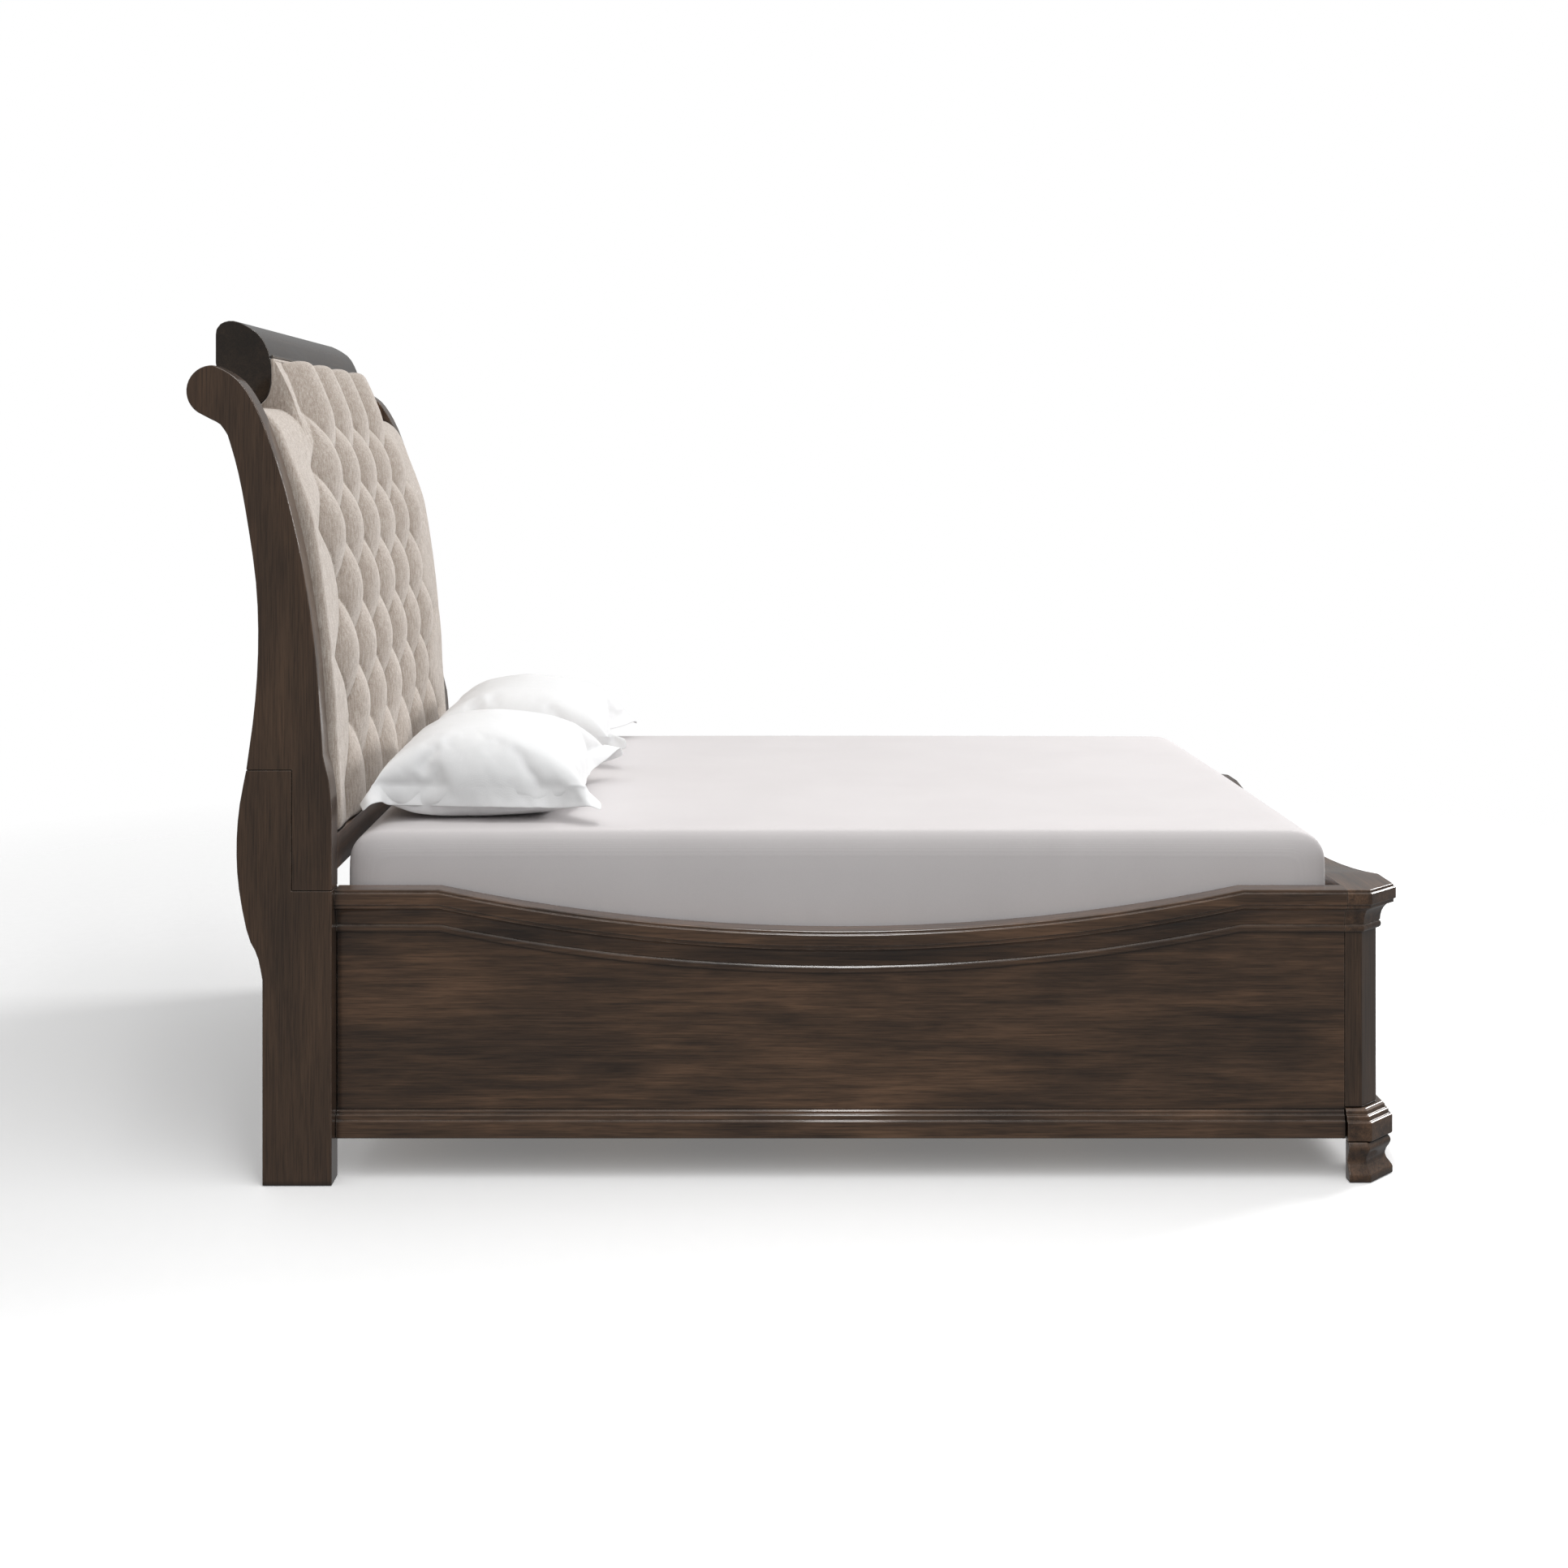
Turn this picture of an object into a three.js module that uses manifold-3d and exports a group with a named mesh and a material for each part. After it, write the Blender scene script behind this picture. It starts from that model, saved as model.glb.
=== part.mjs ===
// Sleigh bed, queen size: tufted headboard, dipped side rails, low footboard and bedding.
// Millimetres. +X runs across the bed, +Y towards the headboard, +Z up. The origin is on the floor
// under the middle of the bed. Side outlines are drawn in (run, z), where run is the distance
// from the back of the crown towards the foot.

import * as THREE from 'three';
import { mergeVertices } from 'three/addons/utils/BufferGeometryUtils.js';
import Module from 'manifold-3d';

const wasm = await Module();
wasm.setup();

// ---------------------------------------------------------------- driving dimensions
const LENGTH = 2536;
const HALF_WIDTH = 845;
const GAP = 0.3;

const POST_THICKNESS = 64;
const POST_INNER_X = HALF_WIDTH - POST_THICKNESS;
const LEG_FRONT = 321;
const LEG_BACK = 178.3;
const JOINT_TOP = 854;
const JOINT_BOTTOM = 606;
const JOINT_RUN = 238.7;
const SCROLL = { run: 75, z: 1633, radius: 53 };

const CROWN_HALF = 520;
const CROWN_SEAT = 1592;
const SHOULDER_Z = 1545;
const LOWER_RAIL = { low: 639, high: 713, thick: 45 };
const PAD_BULGE = { low: 11, high: 26, lowZ: 800, highZ: 1250 };
const PAD_DEPTH = 24;
const BOARD_THICK = 9;
const BACK_PANEL = { inset: 10, thick: 8 };
const RIB_X = [-600, -200, 200, 600];
const RIB_THICK = 22;
const SHEET_GAP = 1;
const LEVEL_STEP = 45;

const RAIL_START = LEG_FRONT;
const RAIL_END = 2415;
const RAIL_INNER_X = 767;
const RAIL_FACE_X = 791;
const CAP_FACE_X = 821.5;
const CAP_TOP = 603;
const CAP_BOTTOM = 564;
const BEAD_BOTTOM = 510;
const RAIL_BOTTOM = 84;
const RAIL_DIP = { centre: 1368, half: 832, sag: 86 };
const FOOT_DIP = { centre: 0, half: 650, sag: 49 };

const FOOT_BACK = 2417;
const FOOT_POST_WIDTH = 91;
const FOOT_BOARD = 30;
const BASE_BOTTOM = 81;
const BASE_TOP = 145;

const CLEAT = { thick: 25, low: 150, high: 180 };
const SLAT = { thick: 19, width: 90, count: 5 };
const SLAT_TOP = CLEAT.high + SLAT.thick;
const BED_START = 336;
const BED_END = 2392;
const BOX_TOP = 418;
const MATTRESS_TOP = 718;
const BOX_HALF_WIDTH = 755;
const MATTRESS_HALF_WIDTH = 762;

// ---------------------------------------------------------------- helpers
const toY = (run) => LENGTH / 2 - run;

// Merges shared vertices and turns the faces outward, so that a mesh is one closed body.
function closed(geometry) {
  geometry.deleteAttribute('normal');
  geometry.deleteAttribute('uv');
  const merged = mergeVertices(geometry, 1e-4);
  const corner = merged.attributes.position;
  const index = merged.index.array;
  let volume = 0;
  const [a, b, c] = [new THREE.Vector3(), new THREE.Vector3(), new THREE.Vector3()];
  for (let i = 0; i < index.length; i += 3) {
    a.fromBufferAttribute(corner, index[i]);
    b.fromBufferAttribute(corner, index[i + 1]);
    c.fromBufferAttribute(corner, index[i + 2]);
    volume += a.dot(b.cross(c));
  }
  if (volume < 0) {
    for (let i = 0; i < index.length; i += 3) {
      [index[i + 1], index[i + 2]] = [index[i + 2], index[i + 1]];
    }
  }
  return merged;
}

function toSolid(geometry) {
  const merged = closed(geometry);
  return new wasm.Manifold(new wasm.Mesh({
    numProp: 3,
    vertProperties: new Float32Array(merged.attributes.position.array),
    triVerts: new Uint32Array(merged.index.array),
  }));
}

function fromSolid(solid) {
  const mesh = solid.getMesh();
  const geometry = new THREE.BufferGeometry();
  geometry.setAttribute('position', new THREE.BufferAttribute(mesh.vertProperties, 3));
  geometry.setIndex(new THREE.BufferAttribute(mesh.triVerts, 1));
  return geometry;
}

const join = (...parts) => fromSolid(parts.map(toSolid).reduce((sum, next) => sum.add(next)));

// Extrudes a closed contour along stations. place(u, v, station) gives each corner's position.
function sweep(contour, stations, place) {
  const shape = new THREE.Shape(contour.map(([u, v]) => new THREE.Vector2(u, v)));
  const steps = stations.length - 1;
  const geometry = new THREE.ExtrudeGeometry(shape, { steps, depth: steps, bevelEnabled: false });
  const corner = geometry.attributes.position;
  for (let i = 0; i < corner.count; i += 1) {
    const station = stations[Math.round(corner.getZ(i))];
    corner.setXYZ(i, ...place(corner.getX(i), corner.getY(i), station));
  }
  return closed(geometry);
}

// A side outline in (run, z), from x = from to x = to.
const sideways = (contour, from, to) => sweep(contour, [from, to], (run, z, x) => [x, toY(run), z]);

// A plan outline in (x, run), from z = low to z = high.
const upright = (contour, low, high) => sweep(contour, [low, high], (x, run, z) => [x, toY(run), z]);

function block(xs, runs, zs) {
  return upright([[xs[0], runs[0]], [xs[1], runs[0]], [xs[1], runs[1]], [xs[0], runs[1]]], zs[0], zs[1]);
}

const curve = (points, divisions) => new THREE.SplineCurve(points.map(([u, v]) => new THREE.Vector2(u, v)))
  .getPoints(divisions).map((p) => [p.x, p.y]);

function arc(centre, radii, from, to, divisions) {
  return Array.from({ length: divisions + 1 }, (_, i) => {
    const angle = THREE.MathUtils.degToRad(from + ((to - from) * i) / divisions);
    return [centre[0] + radii[0] * Math.cos(angle), centre[1] + radii[1] * Math.sin(angle)];
  });
}

// How far a moulding sinks below its ends: a circular arc between two corners.
function dipAt(position, { centre, half, sag }) {
  const s = Math.abs(position - centre);
  if (s >= half) return 0;
  const radius = (half * half + sag * sag) / (2 * sag);
  return Math.sqrt(radius * radius - s * s) - (radius - sag);
}

function dipStations(from, to, { centre, half }, divisions) {
  const middle = Array.from({ length: divisions + 1 }, (_, i) => centre - half + (2 * half * i) / divisions);
  return [from, ...middle, to];
}

// ---------------------------------------------------------------- headboard side outlines
const FRONT_POINTS = [
  [303, 884], [298, 960], [286, 1110], [262, 1272], [234, 1398], [207, 1493],
  [172, 1587], [138, 1645], [108, 1671], [SCROLL.run + 2, SCROLL.z + SCROLL.radius],
];
const FLARE_POINTS = [[LEG_FRONT, 769], [317, 822], [309, 858], [303, 884]];
const BACK_POINTS = [
  [107, 1542], [127, 1472], [145, 1379], [165, 1239], [169.5, 1110], [162, 982], [145, JOINT_TOP],
];
const LEG_BACK_POINTS = [
  [145, JOINT_TOP], [130, 772], [125, 690], [130, 609], [148, 516], [168, 472], [LEG_BACK, 422],
];

const frontEdge = [...curve(FLARE_POINTS, 5), ...curve(FRONT_POINTS, 26).slice(1)];
const backEdge = curve(BACK_POINTS, 16);
const legBackEdge = curve(LEG_BACK_POINTS, 14);

// The run of an edge at a height, between its points.
function runAt(edge, z) {
  const rising = edge[0][1] < edge[edge.length - 1][1] ? edge : [...edge].reverse();
  if (z <= rising[0][1]) return rising[0][0];
  for (let i = 1; i < rising.length; i += 1) {
    const [[r0, z0], [r1, z1]] = [rising[i - 1], rising[i]];
    if (z <= z1) return r0 + ((r1 - r0) * (z - z0)) / (z1 - z0);
  }
  return rising[rising.length - 1][0];
}

const frontAt = (z) => runAt(frontEdge, z);
const backAt = (z) => (z < JOINT_TOP ? runAt(legBackEdge, z) : runAt(backEdge, z));

// A curved sheet between two heights, set by its front and back run at each height. All sheets
// bend at the same levels, so that nested ones stay parallel.
function band(front, back, low, high) {
  const heights = [low];
  for (let z = LEVEL_STEP * Math.ceil((low + 1) / LEVEL_STEP); z < high - 1; z += LEVEL_STEP) heights.push(z);
  heights.push(high);
  return [...heights.map((z) => [front(z), z]), ...heights.reverse().map((z) => [back(z), z])];
}

function postOutline() {
  const scrollArc = arc([SCROLL.run, SCROLL.z], [SCROLL.radius, SCROLL.radius], 96, 236, 14);
  const neck = curve([scrollArc[scrollArc.length - 1], [72, 1575], [92, 1564], BACK_POINTS[0]], 6).slice(1);
  return [
    [LEG_FRONT, JOINT_BOTTOM], ...frontEdge, ...scrollArc, ...neck, ...backEdge.slice(1),
    [JOINT_RUN, JOINT_TOP], [JOINT_RUN, JOINT_BOTTOM],
  ];
}

function legOutline() {
  const top = JOINT_TOP - GAP;
  return [
    [legBackEdge[0][0], top], ...legBackEdge.slice(1), [LEG_BACK, 0], [LEG_FRONT, 0],
    [LEG_FRONT, JOINT_BOTTOM - GAP], [JOINT_RUN - GAP, JOINT_BOTTOM - GAP], [JOINT_RUN - GAP, top],
  ];
}

const CROWN_TOP_POINTS = [
  [121, 1714], [116, 1734], [97, 1767], [63, 1790], [36, 1798.5], [13, 1793], [1.5, 1779],
];

function crownOutline() {
  return [
    [60, CROWN_SEAT], [98, CROWN_SEAT], [98, 1616],
    ...curve([[102, 1618], [114, 1630], [121.5, 1655], [123, 1688], [121, 1714]], 8),
    ...curve(CROWN_TOP_POINTS, 14).slice(1),
    [0, 1768], ...curve([[0, 1705], [10, 1665], [32, 1622], [60, CROWN_SEAT]], 7).slice(0, -1),
  ];
}

function topRailOutline() {
  const top = CROWN_SEAT - GAP;
  return [[110, SHOULDER_Z], [155, SHOULDER_Z], [138, 1580], [126, top], [62, top], [78, 1574], [97, 1556]];
}

// ---------------------------------------------------------------- headboard
const headboardPost = (side) => sideways(postOutline(), side * POST_INNER_X, side * HALF_WIDTH);
const headboardLeg = (side) => sideways(legOutline(), side * POST_INNER_X, side * HALF_WIDTH);
const crownRail = () => sideways(crownOutline(), -CROWN_HALF, CROWN_HALF);

function crownBead() {
  const outline = arc([122.6, 1720], [4.5, 3.6], -84, 84, 6);
  return sideways(outline, -CROWN_HALF + 1, CROWN_HALF - 1);
}

const betweenPosts = (outline) => sideways(outline, -POST_INNER_X + GAP, POST_INNER_X - GAP);
const topRail = () => betweenPosts(topRailOutline());

function crossRail(front, back, low, high) {
  return betweenPosts([[front, low], [front, high], [back, high], [back, low]]);
}

const lowerRail = () => crossRail(LEG_FRONT, LEG_FRONT - LOWER_RAIL.thick, LOWER_RAIL.low, LOWER_RAIL.high);
const rearRail = () => crossRail(184, 150, LOWER_RAIL.low, LOWER_RAIL.high);
const stretcher = () => crossRail(LEG_FRONT - GAP, LEG_FRONT - 25, 150, 330);

const BOARD_BACK = PAD_DEPTH + SHEET_GAP + BOARD_THICK;
const PANEL_FRONT = BACK_PANEL.inset + BACK_PANEL.thick;

function upholsteryBoard() {
  const front = (z) => frontAt(z) - PAD_DEPTH - SHEET_GAP;
  const back = (z) => frontAt(z) - BOARD_BACK;
  return betweenPosts(band(front, back, LOWER_RAIL.high + GAP, SHOULDER_Z - GAP));
}

function backPanel() {
  const front = (z) => backAt(z) + PANEL_FRONT;
  const back = (z) => backAt(z) + BACK_PANEL.inset;
  return betweenPosts(band(front, back, LOWER_RAIL.low, SHOULDER_Z - GAP));
}

function rib(x) {
  const front = (z) => frontAt(z) - BOARD_BACK - SHEET_GAP;
  const back = (z) => backAt(z) + PANEL_FRONT + SHEET_GAP;
  const outline = band(front, back, LOWER_RAIL.high + GAP, SHOULDER_Z - GAP);
  return sideways(outline, x - RIB_THICK / 2, x + RIB_THICK / 2);
}

// The pad swells in front of the posts, more towards its top, so that the mattress lifts clear
// of its foot. It climbs to the crown in the middle and rolls back over the top rail at each
// shoulder.
function pad() {
  const swell = (z) => {
    const foot = Math.min(1, (z - LOWER_RAIL.high) / 60);
    const rise = THREE.MathUtils.smoothstep(z, PAD_BULGE.lowZ, PAD_BULGE.highZ);
    const bulge = THREE.MathUtils.lerp(PAD_BULGE.low, PAD_BULGE.high, rise);
    return bulge * Math.sqrt(1 - (1 - foot) * (1 - foot));
  };
  const front = (z) => frontAt(z) + swell(z);
  const back = (z) => frontAt(z) - PAD_DEPTH;
  const seamZ = 1530;
  const rootZ = 1485;
  const root = [[back(rootZ), rootZ], [front(rootZ), rootZ], [front(seamZ), seamZ]];
  const underside = [[128, CROWN_SEAT + GAP], [142, 1582]];
  const overRail = [...underside, [back(SHOULDER_Z), SHOULDER_Z], [back(seamZ), seamZ]];
  const body = betweenPosts(band(front, back, LOWER_RAIL.high + GAP, seamZ));
  const climb = [
    ...root, [204, 1582], [178, 1638], [156, 1678], [131, 1712], [125, 1712], [126, 1688], [124, 1655],
    [117, 1629], ...overRail,
  ];
  const roll = [
    ...root, [200, 1576], [180, 1598], [152, 1612], [110, 1616], [72, 1608], [60, CROWN_SEAT + GAP],
    ...overRail,
  ];
  const shoulders = [-1, 1].map((side) => (
    sideways(roll, side * (CROWN_HALF + GAP), side * (POST_INNER_X - GAP))));
  return join(body, sideways(climb, -CROWN_HALF - GAP, CROWN_HALF + GAP), ...shoulders);
}

// ---------------------------------------------------------------- side rails
// Everything on a rail runs along its length and sinks with the dip.
function alongRail(section, side, end = RAIL_END - GAP, dips = true) {
  const start = RAIL_START + GAP;
  const stations = dips ? dipStations(start, end, RAIL_DIP, 20) : [start, end];
  const sink = (run) => (dips ? dipAt(run, RAIL_DIP) : 0);
  return sweep(section, stations, (x, z, run) => [side * x, toY(run), z - sink(run)]);
}

const coveSection = (face, reach) => [
  [face, BEAD_BOTTOM], [face, CAP_BOTTOM - GAP], [face + reach, CAP_BOTTOM - GAP],
  ...arc([face + reach, 528], [reach - 6, 35.7], 90, 180, 6).slice(1),
  ...arc([face + 1.5, 518.5], [6, 8.4], 62, -88, 6),
];

// The cap's edge as (set back, z): a small step under its top, a plain band and a step below it.
const capEdge = [
  [6.5, CAP_TOP], [4.6, 602.2], [4, 600.4], [4, 596.2], [0.9, 595.6], [0, 594.4],
  [0, 572.5], [3.5, 571], [3.5, CAP_BOTTOM],
];

const capSection = [
  [RAIL_INNER_X, CAP_BOTTOM], [RAIL_INNER_X, 601], [RAIL_INNER_X + 2, CAP_TOP],
  ...capEdge.map(([setBack, z]) => [CAP_FACE_X - setBack, z]),
];

const railCap = (side) => alongRail(capSection, side);
const railCove = (side) => alongRail(coveSection(RAIL_FACE_X + GAP, 25), side);

// The board's foot stays straight while its top edge sinks with the cap.
function railBoard(side) {
  const start = RAIL_START + GAP;
  const stations = dipStations(start, FOOT_BACK - GAP, RAIL_DIP, 20);
  const section = [
    [RAIL_INNER_X, 0], [RAIL_INNER_X, 1], [RAIL_FACE_X, 1], [RAIL_FACE_X, 0],
  ];
  return sweep(section, stations, (x, share, run) => {
    const top = CAP_BOTTOM - GAP - dipAt(run, RAIL_DIP);
    return [side * x, toY(run), RAIL_BOTTOM + share * (top - RAIL_BOTTOM)];
  });
}

function railBase(side) {
  const face = RAIL_FACE_X + GAP;
  const section = [
    [face, RAIL_BOTTOM], [face + 11.5, RAIL_BOTTOM], [face + 13, 86], [face + 13, 119], [face + 11.5, 120.5],
    [face + 9, 121], [face + 9, 130], [face + 8, 131.5],
    [face + 5, 132.5], [face + 5, 138], [face + 3, 141], [face, 141],
  ];
  return alongRail(section, side, RAIL_END - GAP, false);
}

function slatCleat(side) {
  const inner = RAIL_INNER_X - GAP - CLEAT.thick;
  const outer = RAIL_INNER_X - GAP;
  return block([side * inner, side * outer], [BED_START, BED_END + 10], [CLEAT.low, CLEAT.high]);
}

// An angle plate that ties a rail to the headboard stretcher or the footboard.
function railBracket(side, wallRun, away) {
  const x = RAIL_INNER_X - GAP;
  const [thick, leg, reach] = [3.2, 76, 78];
  const outline = [
    [x, wallRun], [x, wallRun + away * leg], [x - thick, wallRun + away * leg],
    [x - thick, wallRun + away * thick], [x - reach, wallRun + away * thick], [x - reach, wallRun],
  ].map(([px, run]) => [side * px, run]);
  return upright(outline, 215, 315);
}

function bracketBolt(side, wallRun, away) {
  const [headRadius, headHeight] = [7.5, 5];
  const profile = [
    [0, 0], [headRadius * 0.8, 0], [headRadius, 1.5], [headRadius, headHeight],
    [0, headHeight],
  ].map(([r, h]) => new THREE.Vector2(r, h));
  const geometry = new THREE.LatheGeometry(profile, 12);
  geometry.translate(0, -headHeight, 0);
  if (away < 0) geometry.rotateX(Math.PI);
  const plateFace = wallRun + away * (3.2 + GAP);
  geometry.translate(side * 715, toY(plateFace), 265);
  return closed(geometry);
}

// ---------------------------------------------------------------- footboard
const footStations = Array.from({ length: 15 }, (_, i) => -FOOT_DIP.half + (2 * FOOT_DIP.half * i) / 14);

// Plan outlines run round the foot end: side, 45 degree corner, front, corner, side.
function footPlan(sideX, flatEnd, cornerX, frontRun) {
  const half = [[sideX, RAIL_END], [sideX, flatEnd], [cornerX, frontRun]];
  const across = footStations.map((x) => [x, frontRun]);
  return [...half.map(([x, run]) => [-x, run]), ...across, ...half.reverse()];
}

const capPlan = footPlan(CAP_FACE_X, 2465, 750.5, LENGTH);
const bodyPlan = footPlan(RAIL_FACE_X, 2452, 748, 2495);

// Sweeps a (share, z) section round the foot end: share 0 is on the cap's face, 1 on the body's.
function roundFoot(section) {
  const stations = capPlan.map((outer, i) => ({ outer, inner: bodyPlan[i] }));
  return sweep(section, stations, (share, z, { outer, inner }) => {
    const x = THREE.MathUtils.lerp(outer[0], inner[0], share);
    const run = THREE.MathUtils.lerp(outer[1], inner[1], share);
    return [x, toY(run), z - dipAt(x, FOOT_DIP)];
  });
}

function capRim() {
  const edge = [...capEdge].reverse().map(([setBack, z]) => [setBack / (CAP_FACE_X - RAIL_FACE_X), z]);
  return roundFoot([[1.25, CAP_BOTTOM], ...edge, [1.25, CAP_TOP]]);
}

function acrossFoot(backRun, frontFor, low, high) {
  const edge = RAIL_FACE_X;
  const stations = [-edge, -748, ...footStations, 748, edge];
  return sweep([[0, 0], [1, 0], [1, 1], [0, 1]], stations, (depth, height, x) => {
    const run = THREE.MathUtils.lerp(backRun, frontFor(x), depth);
    return [x, toY(run), THREE.MathUtils.lerp(low, high, height) - dipAt(x, FOOT_DIP)];
  });
}

function footboardCap() {
  const bodyFront = (x) => (Math.abs(x) > 748 ? 2495 - (Math.abs(x) - 748) : 2495);
  return join(capRim(), acrossFoot(RAIL_END, bodyFront, CAP_BOTTOM + 0.1, CAP_TOP - 0.1));
}

function footboardCove() {
  const span = CAP_FACE_X - RAIL_FACE_X;
  const section = coveSection(GAP, 25).map(([u, z]) => [1 - u / span, z]);
  return roundFoot(section);
}

function footPost(side) {
  const inner = RAIL_FACE_X - FOOT_POST_WIDTH;
  const plan = [
    [inner, FOOT_BACK], [RAIL_FACE_X, FOOT_BACK], [RAIL_FACE_X, 2452], [748, 2495], [inner, 2495],
  ].map(([x, run]) => [side * x, run]);
  return upright(plan, BASE_TOP + GAP, CAP_BOTTOM - GAP);
}

// The panel's top edge sinks with the cap, and its field stands back between the posts.
function footboardPanel() {
  const inner = RAIL_FACE_X - FOOT_POST_WIDTH - GAP;
  const stations = [-inner, ...footStations, inner];
  return sweep([[0, 0], [1, 0], [1, 1], [0, 1]], stations, (depth, height, x) => {
    const top = CAP_BOTTOM - GAP - dipAt(x, FOOT_DIP);
    const z = THREE.MathUtils.lerp(BASE_TOP + GAP, top, height);
    return [x, toY(THREE.MathUtils.lerp(FOOT_BACK, 2494.7, depth)), z];
  });
}

// A plan outline drawn in from its outer faces by an inset, with its back edge left in place.
function insetPlan(plan, inset) {
  const { sideX, flatEnd, frontRun, innerX } = plan;
  const corner = (frontRun - flatEnd) - inset * (2 - Math.SQRT2);
  const side = sideX - inset;
  const front = frontRun - inset;
  return [
    [innerX, FOOT_BACK], [side, FOOT_BACK], [side, front - corner], [side - corner, front], [innerX, front],
  ];
}

// Stacks inset plan outlines at rising heights into one body.
function stack(levels, planAt) {
  const contour = planAt(levels[0]);
  const steps = levels.length - 1;
  const flat = new THREE.Shape(contour.map(([x, run]) => new THREE.Vector2(x, run)));
  const geometry = new THREE.ExtrudeGeometry(flat, { steps, depth: steps, bevelEnabled: false });
  const corner = geometry.attributes.position;
  for (let i = 0; i < corner.count; i += 1) {
    const level = levels[Math.round(corner.getZ(i))];
    const which = contour.findIndex(([x, run]) => (
      Math.hypot(x - corner.getX(i), run - corner.getY(i)) < 0.01));
    const [x, run] = planAt(level)[which];
    corner.setXYZ(i, x, toY(run), level.z);
  }
  return closed(geometry);
}

function footboardBase() {
  const plan = { sideX: 816, flatEnd: 2466, frontRun: 2527, innerX: 0 };
  const levels = [
    { z: BASE_BOTTOM, inset: 1.5 }, { z: 83, inset: 0 }, { z: 119, inset: 0 }, { z: 121, inset: 2 },
    { z: 122, inset: 7 }, { z: 130, inset: 7 }, { z: 132, inset: 9 }, { z: 133, inset: 14 },
    { z: 140, inset: 14 }, { z: BASE_TOP, inset: 19 },
  ];
  const mirror = (points) => {
    const half = points.slice(1, 4);
    return [...half, ...[...half].reverse().map(([x, run]) => [-x, run])];
  };
  return stack(levels, ({ inset }) => mirror(insetPlan(plan, inset)));
}

// A mitred bracket foot of two boards: plain inside, and outside a plinth, flare, hollow, bulge and neck.
function bracketFoot(side) {
  const plan = { sideX: 826, flatEnd: 2461, frontRun: 2526 };
  const levels = [
    { z: 0, inset: 0, inner: 700 }, { z: 13, inset: 0, inner: 698 }, { z: 17, inset: 1.5, inner: 694 },
    { z: 23, inset: 6, inner: 690 }, { z: 31, inset: 12, inner: 680 }, { z: 40, inset: 14.5, inner: 668 },
    { z: 50, inset: 12, inner: 657 }, { z: 59, inset: 6.5, inner: 650 }, { z: 66, inset: 3.5, inner: 645 },
    { z: 72, inset: 4, inner: 642 }, { z: 77, inset: 7.5, inner: 640 },
    { z: BASE_BOTTOM - GAP, inset: 11, inner: 640 },
  ];
  const planAt = ({ inset, inner }) => {
    const outside = insetPlan({ ...plan, innerX: inner }, inset).slice(1);
    const inside = insetPlan({ ...plan, innerX: inner }, FOOT_BOARD).slice(1).reverse();
    return [...outside, ...inside].map(([x, run]) => [side * x, run]);
  };
  return stack(levels, planAt);
}

// ---------------------------------------------------------------- mattress support
function slatRun(i) {
  const margin = 110;
  return BED_START + margin + ((BED_END - BED_START - 2 * margin) * i) / (SLAT.count - 1);
}

function slat(i) {
  const reach = RAIL_INNER_X - 4;
  const run = slatRun(i);
  return block([-reach, reach], [run - SLAT.width / 2, run + SLAT.width / 2], [CLEAT.high + GAP, SLAT_TOP]);
}

function supportLeg(i) {
  const half = 22;
  return block([-half, half], [slatRun(i) - half, slatRun(i) + half], [12, CLEAT.high]);
}

function legPad(i) {
  const profile = [[0, 0], [20, 0], [22, 2], [22, 11.7], [0, 11.7]].map(([r, z]) => new THREE.Vector2(r, z));
  const geometry = new THREE.LatheGeometry(profile, 16);
  geometry.rotateX(Math.PI / 2);
  geometry.translate(0, toY(slatRun(i)), 0);
  return closed(geometry);
}

// ---------------------------------------------------------------- bedding
function roundedSlab(low, high, corner, halfWidth) {
  const edge = 0.4 * corner;
  const outline = [
    ...arc([BED_START + edge, low + edge], [edge, edge], 270, 180, 3),
    ...arc([BED_START + corner, high - corner], [corner, corner], 180, 90, 6),
    ...arc([BED_END - corner, high - corner], [corner, corner], 90, 0, 6),
    ...arc([BED_END - edge, low + edge], [edge, edge], 0, -90, 3),
  ];
  return sideways(outline, -halfWidth, halfWidth);
}

const boxSpring = () => roundedSlab(SLAT_TOP + GAP, BOX_TOP, 12, BOX_HALF_WIDTH);
const mattress = () => roundedSlab(BOX_TOP + GAP, MATTRESS_TOP, 70, MATTRESS_HALF_WIDTH);

// A plump pillow: a square-shouldered dome above its edge seam and a shallow belly below it.
function pillow(side) {
  const centre = { x: side * 387, run: 592 };
  const half = { x: 300, run: 236, up: 158, down: 50 };
  const seamZ = MATTRESS_TOP + GAP + half.down;
  const square = (value, power) => Math.sign(value) * Math.abs(value) ** power;
  const geometry = new THREE.SphereGeometry(1, 24, 12);
  const corner = geometry.attributes.position;
  for (let i = 0; i < corner.count; i += 1) {
    const [x, y, z] = [corner.getX(i), corner.getY(i), corner.getZ(i)];
    const flat = Math.hypot(x, z);
    const turn = Math.atan2(z, x);
    const reach = square(flat, 0.62);
    const rise = y > 0 ? half.up * y : half.down * square(y, 0.6);
    corner.setXYZ(
      i,
      centre.x + half.x * reach * square(Math.cos(turn), 0.55),
      toY(centre.run + half.run * reach * square(Math.sin(turn), 0.55)),
      seamZ + rise,
    );
  }
  return closed(geometry);
}

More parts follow.
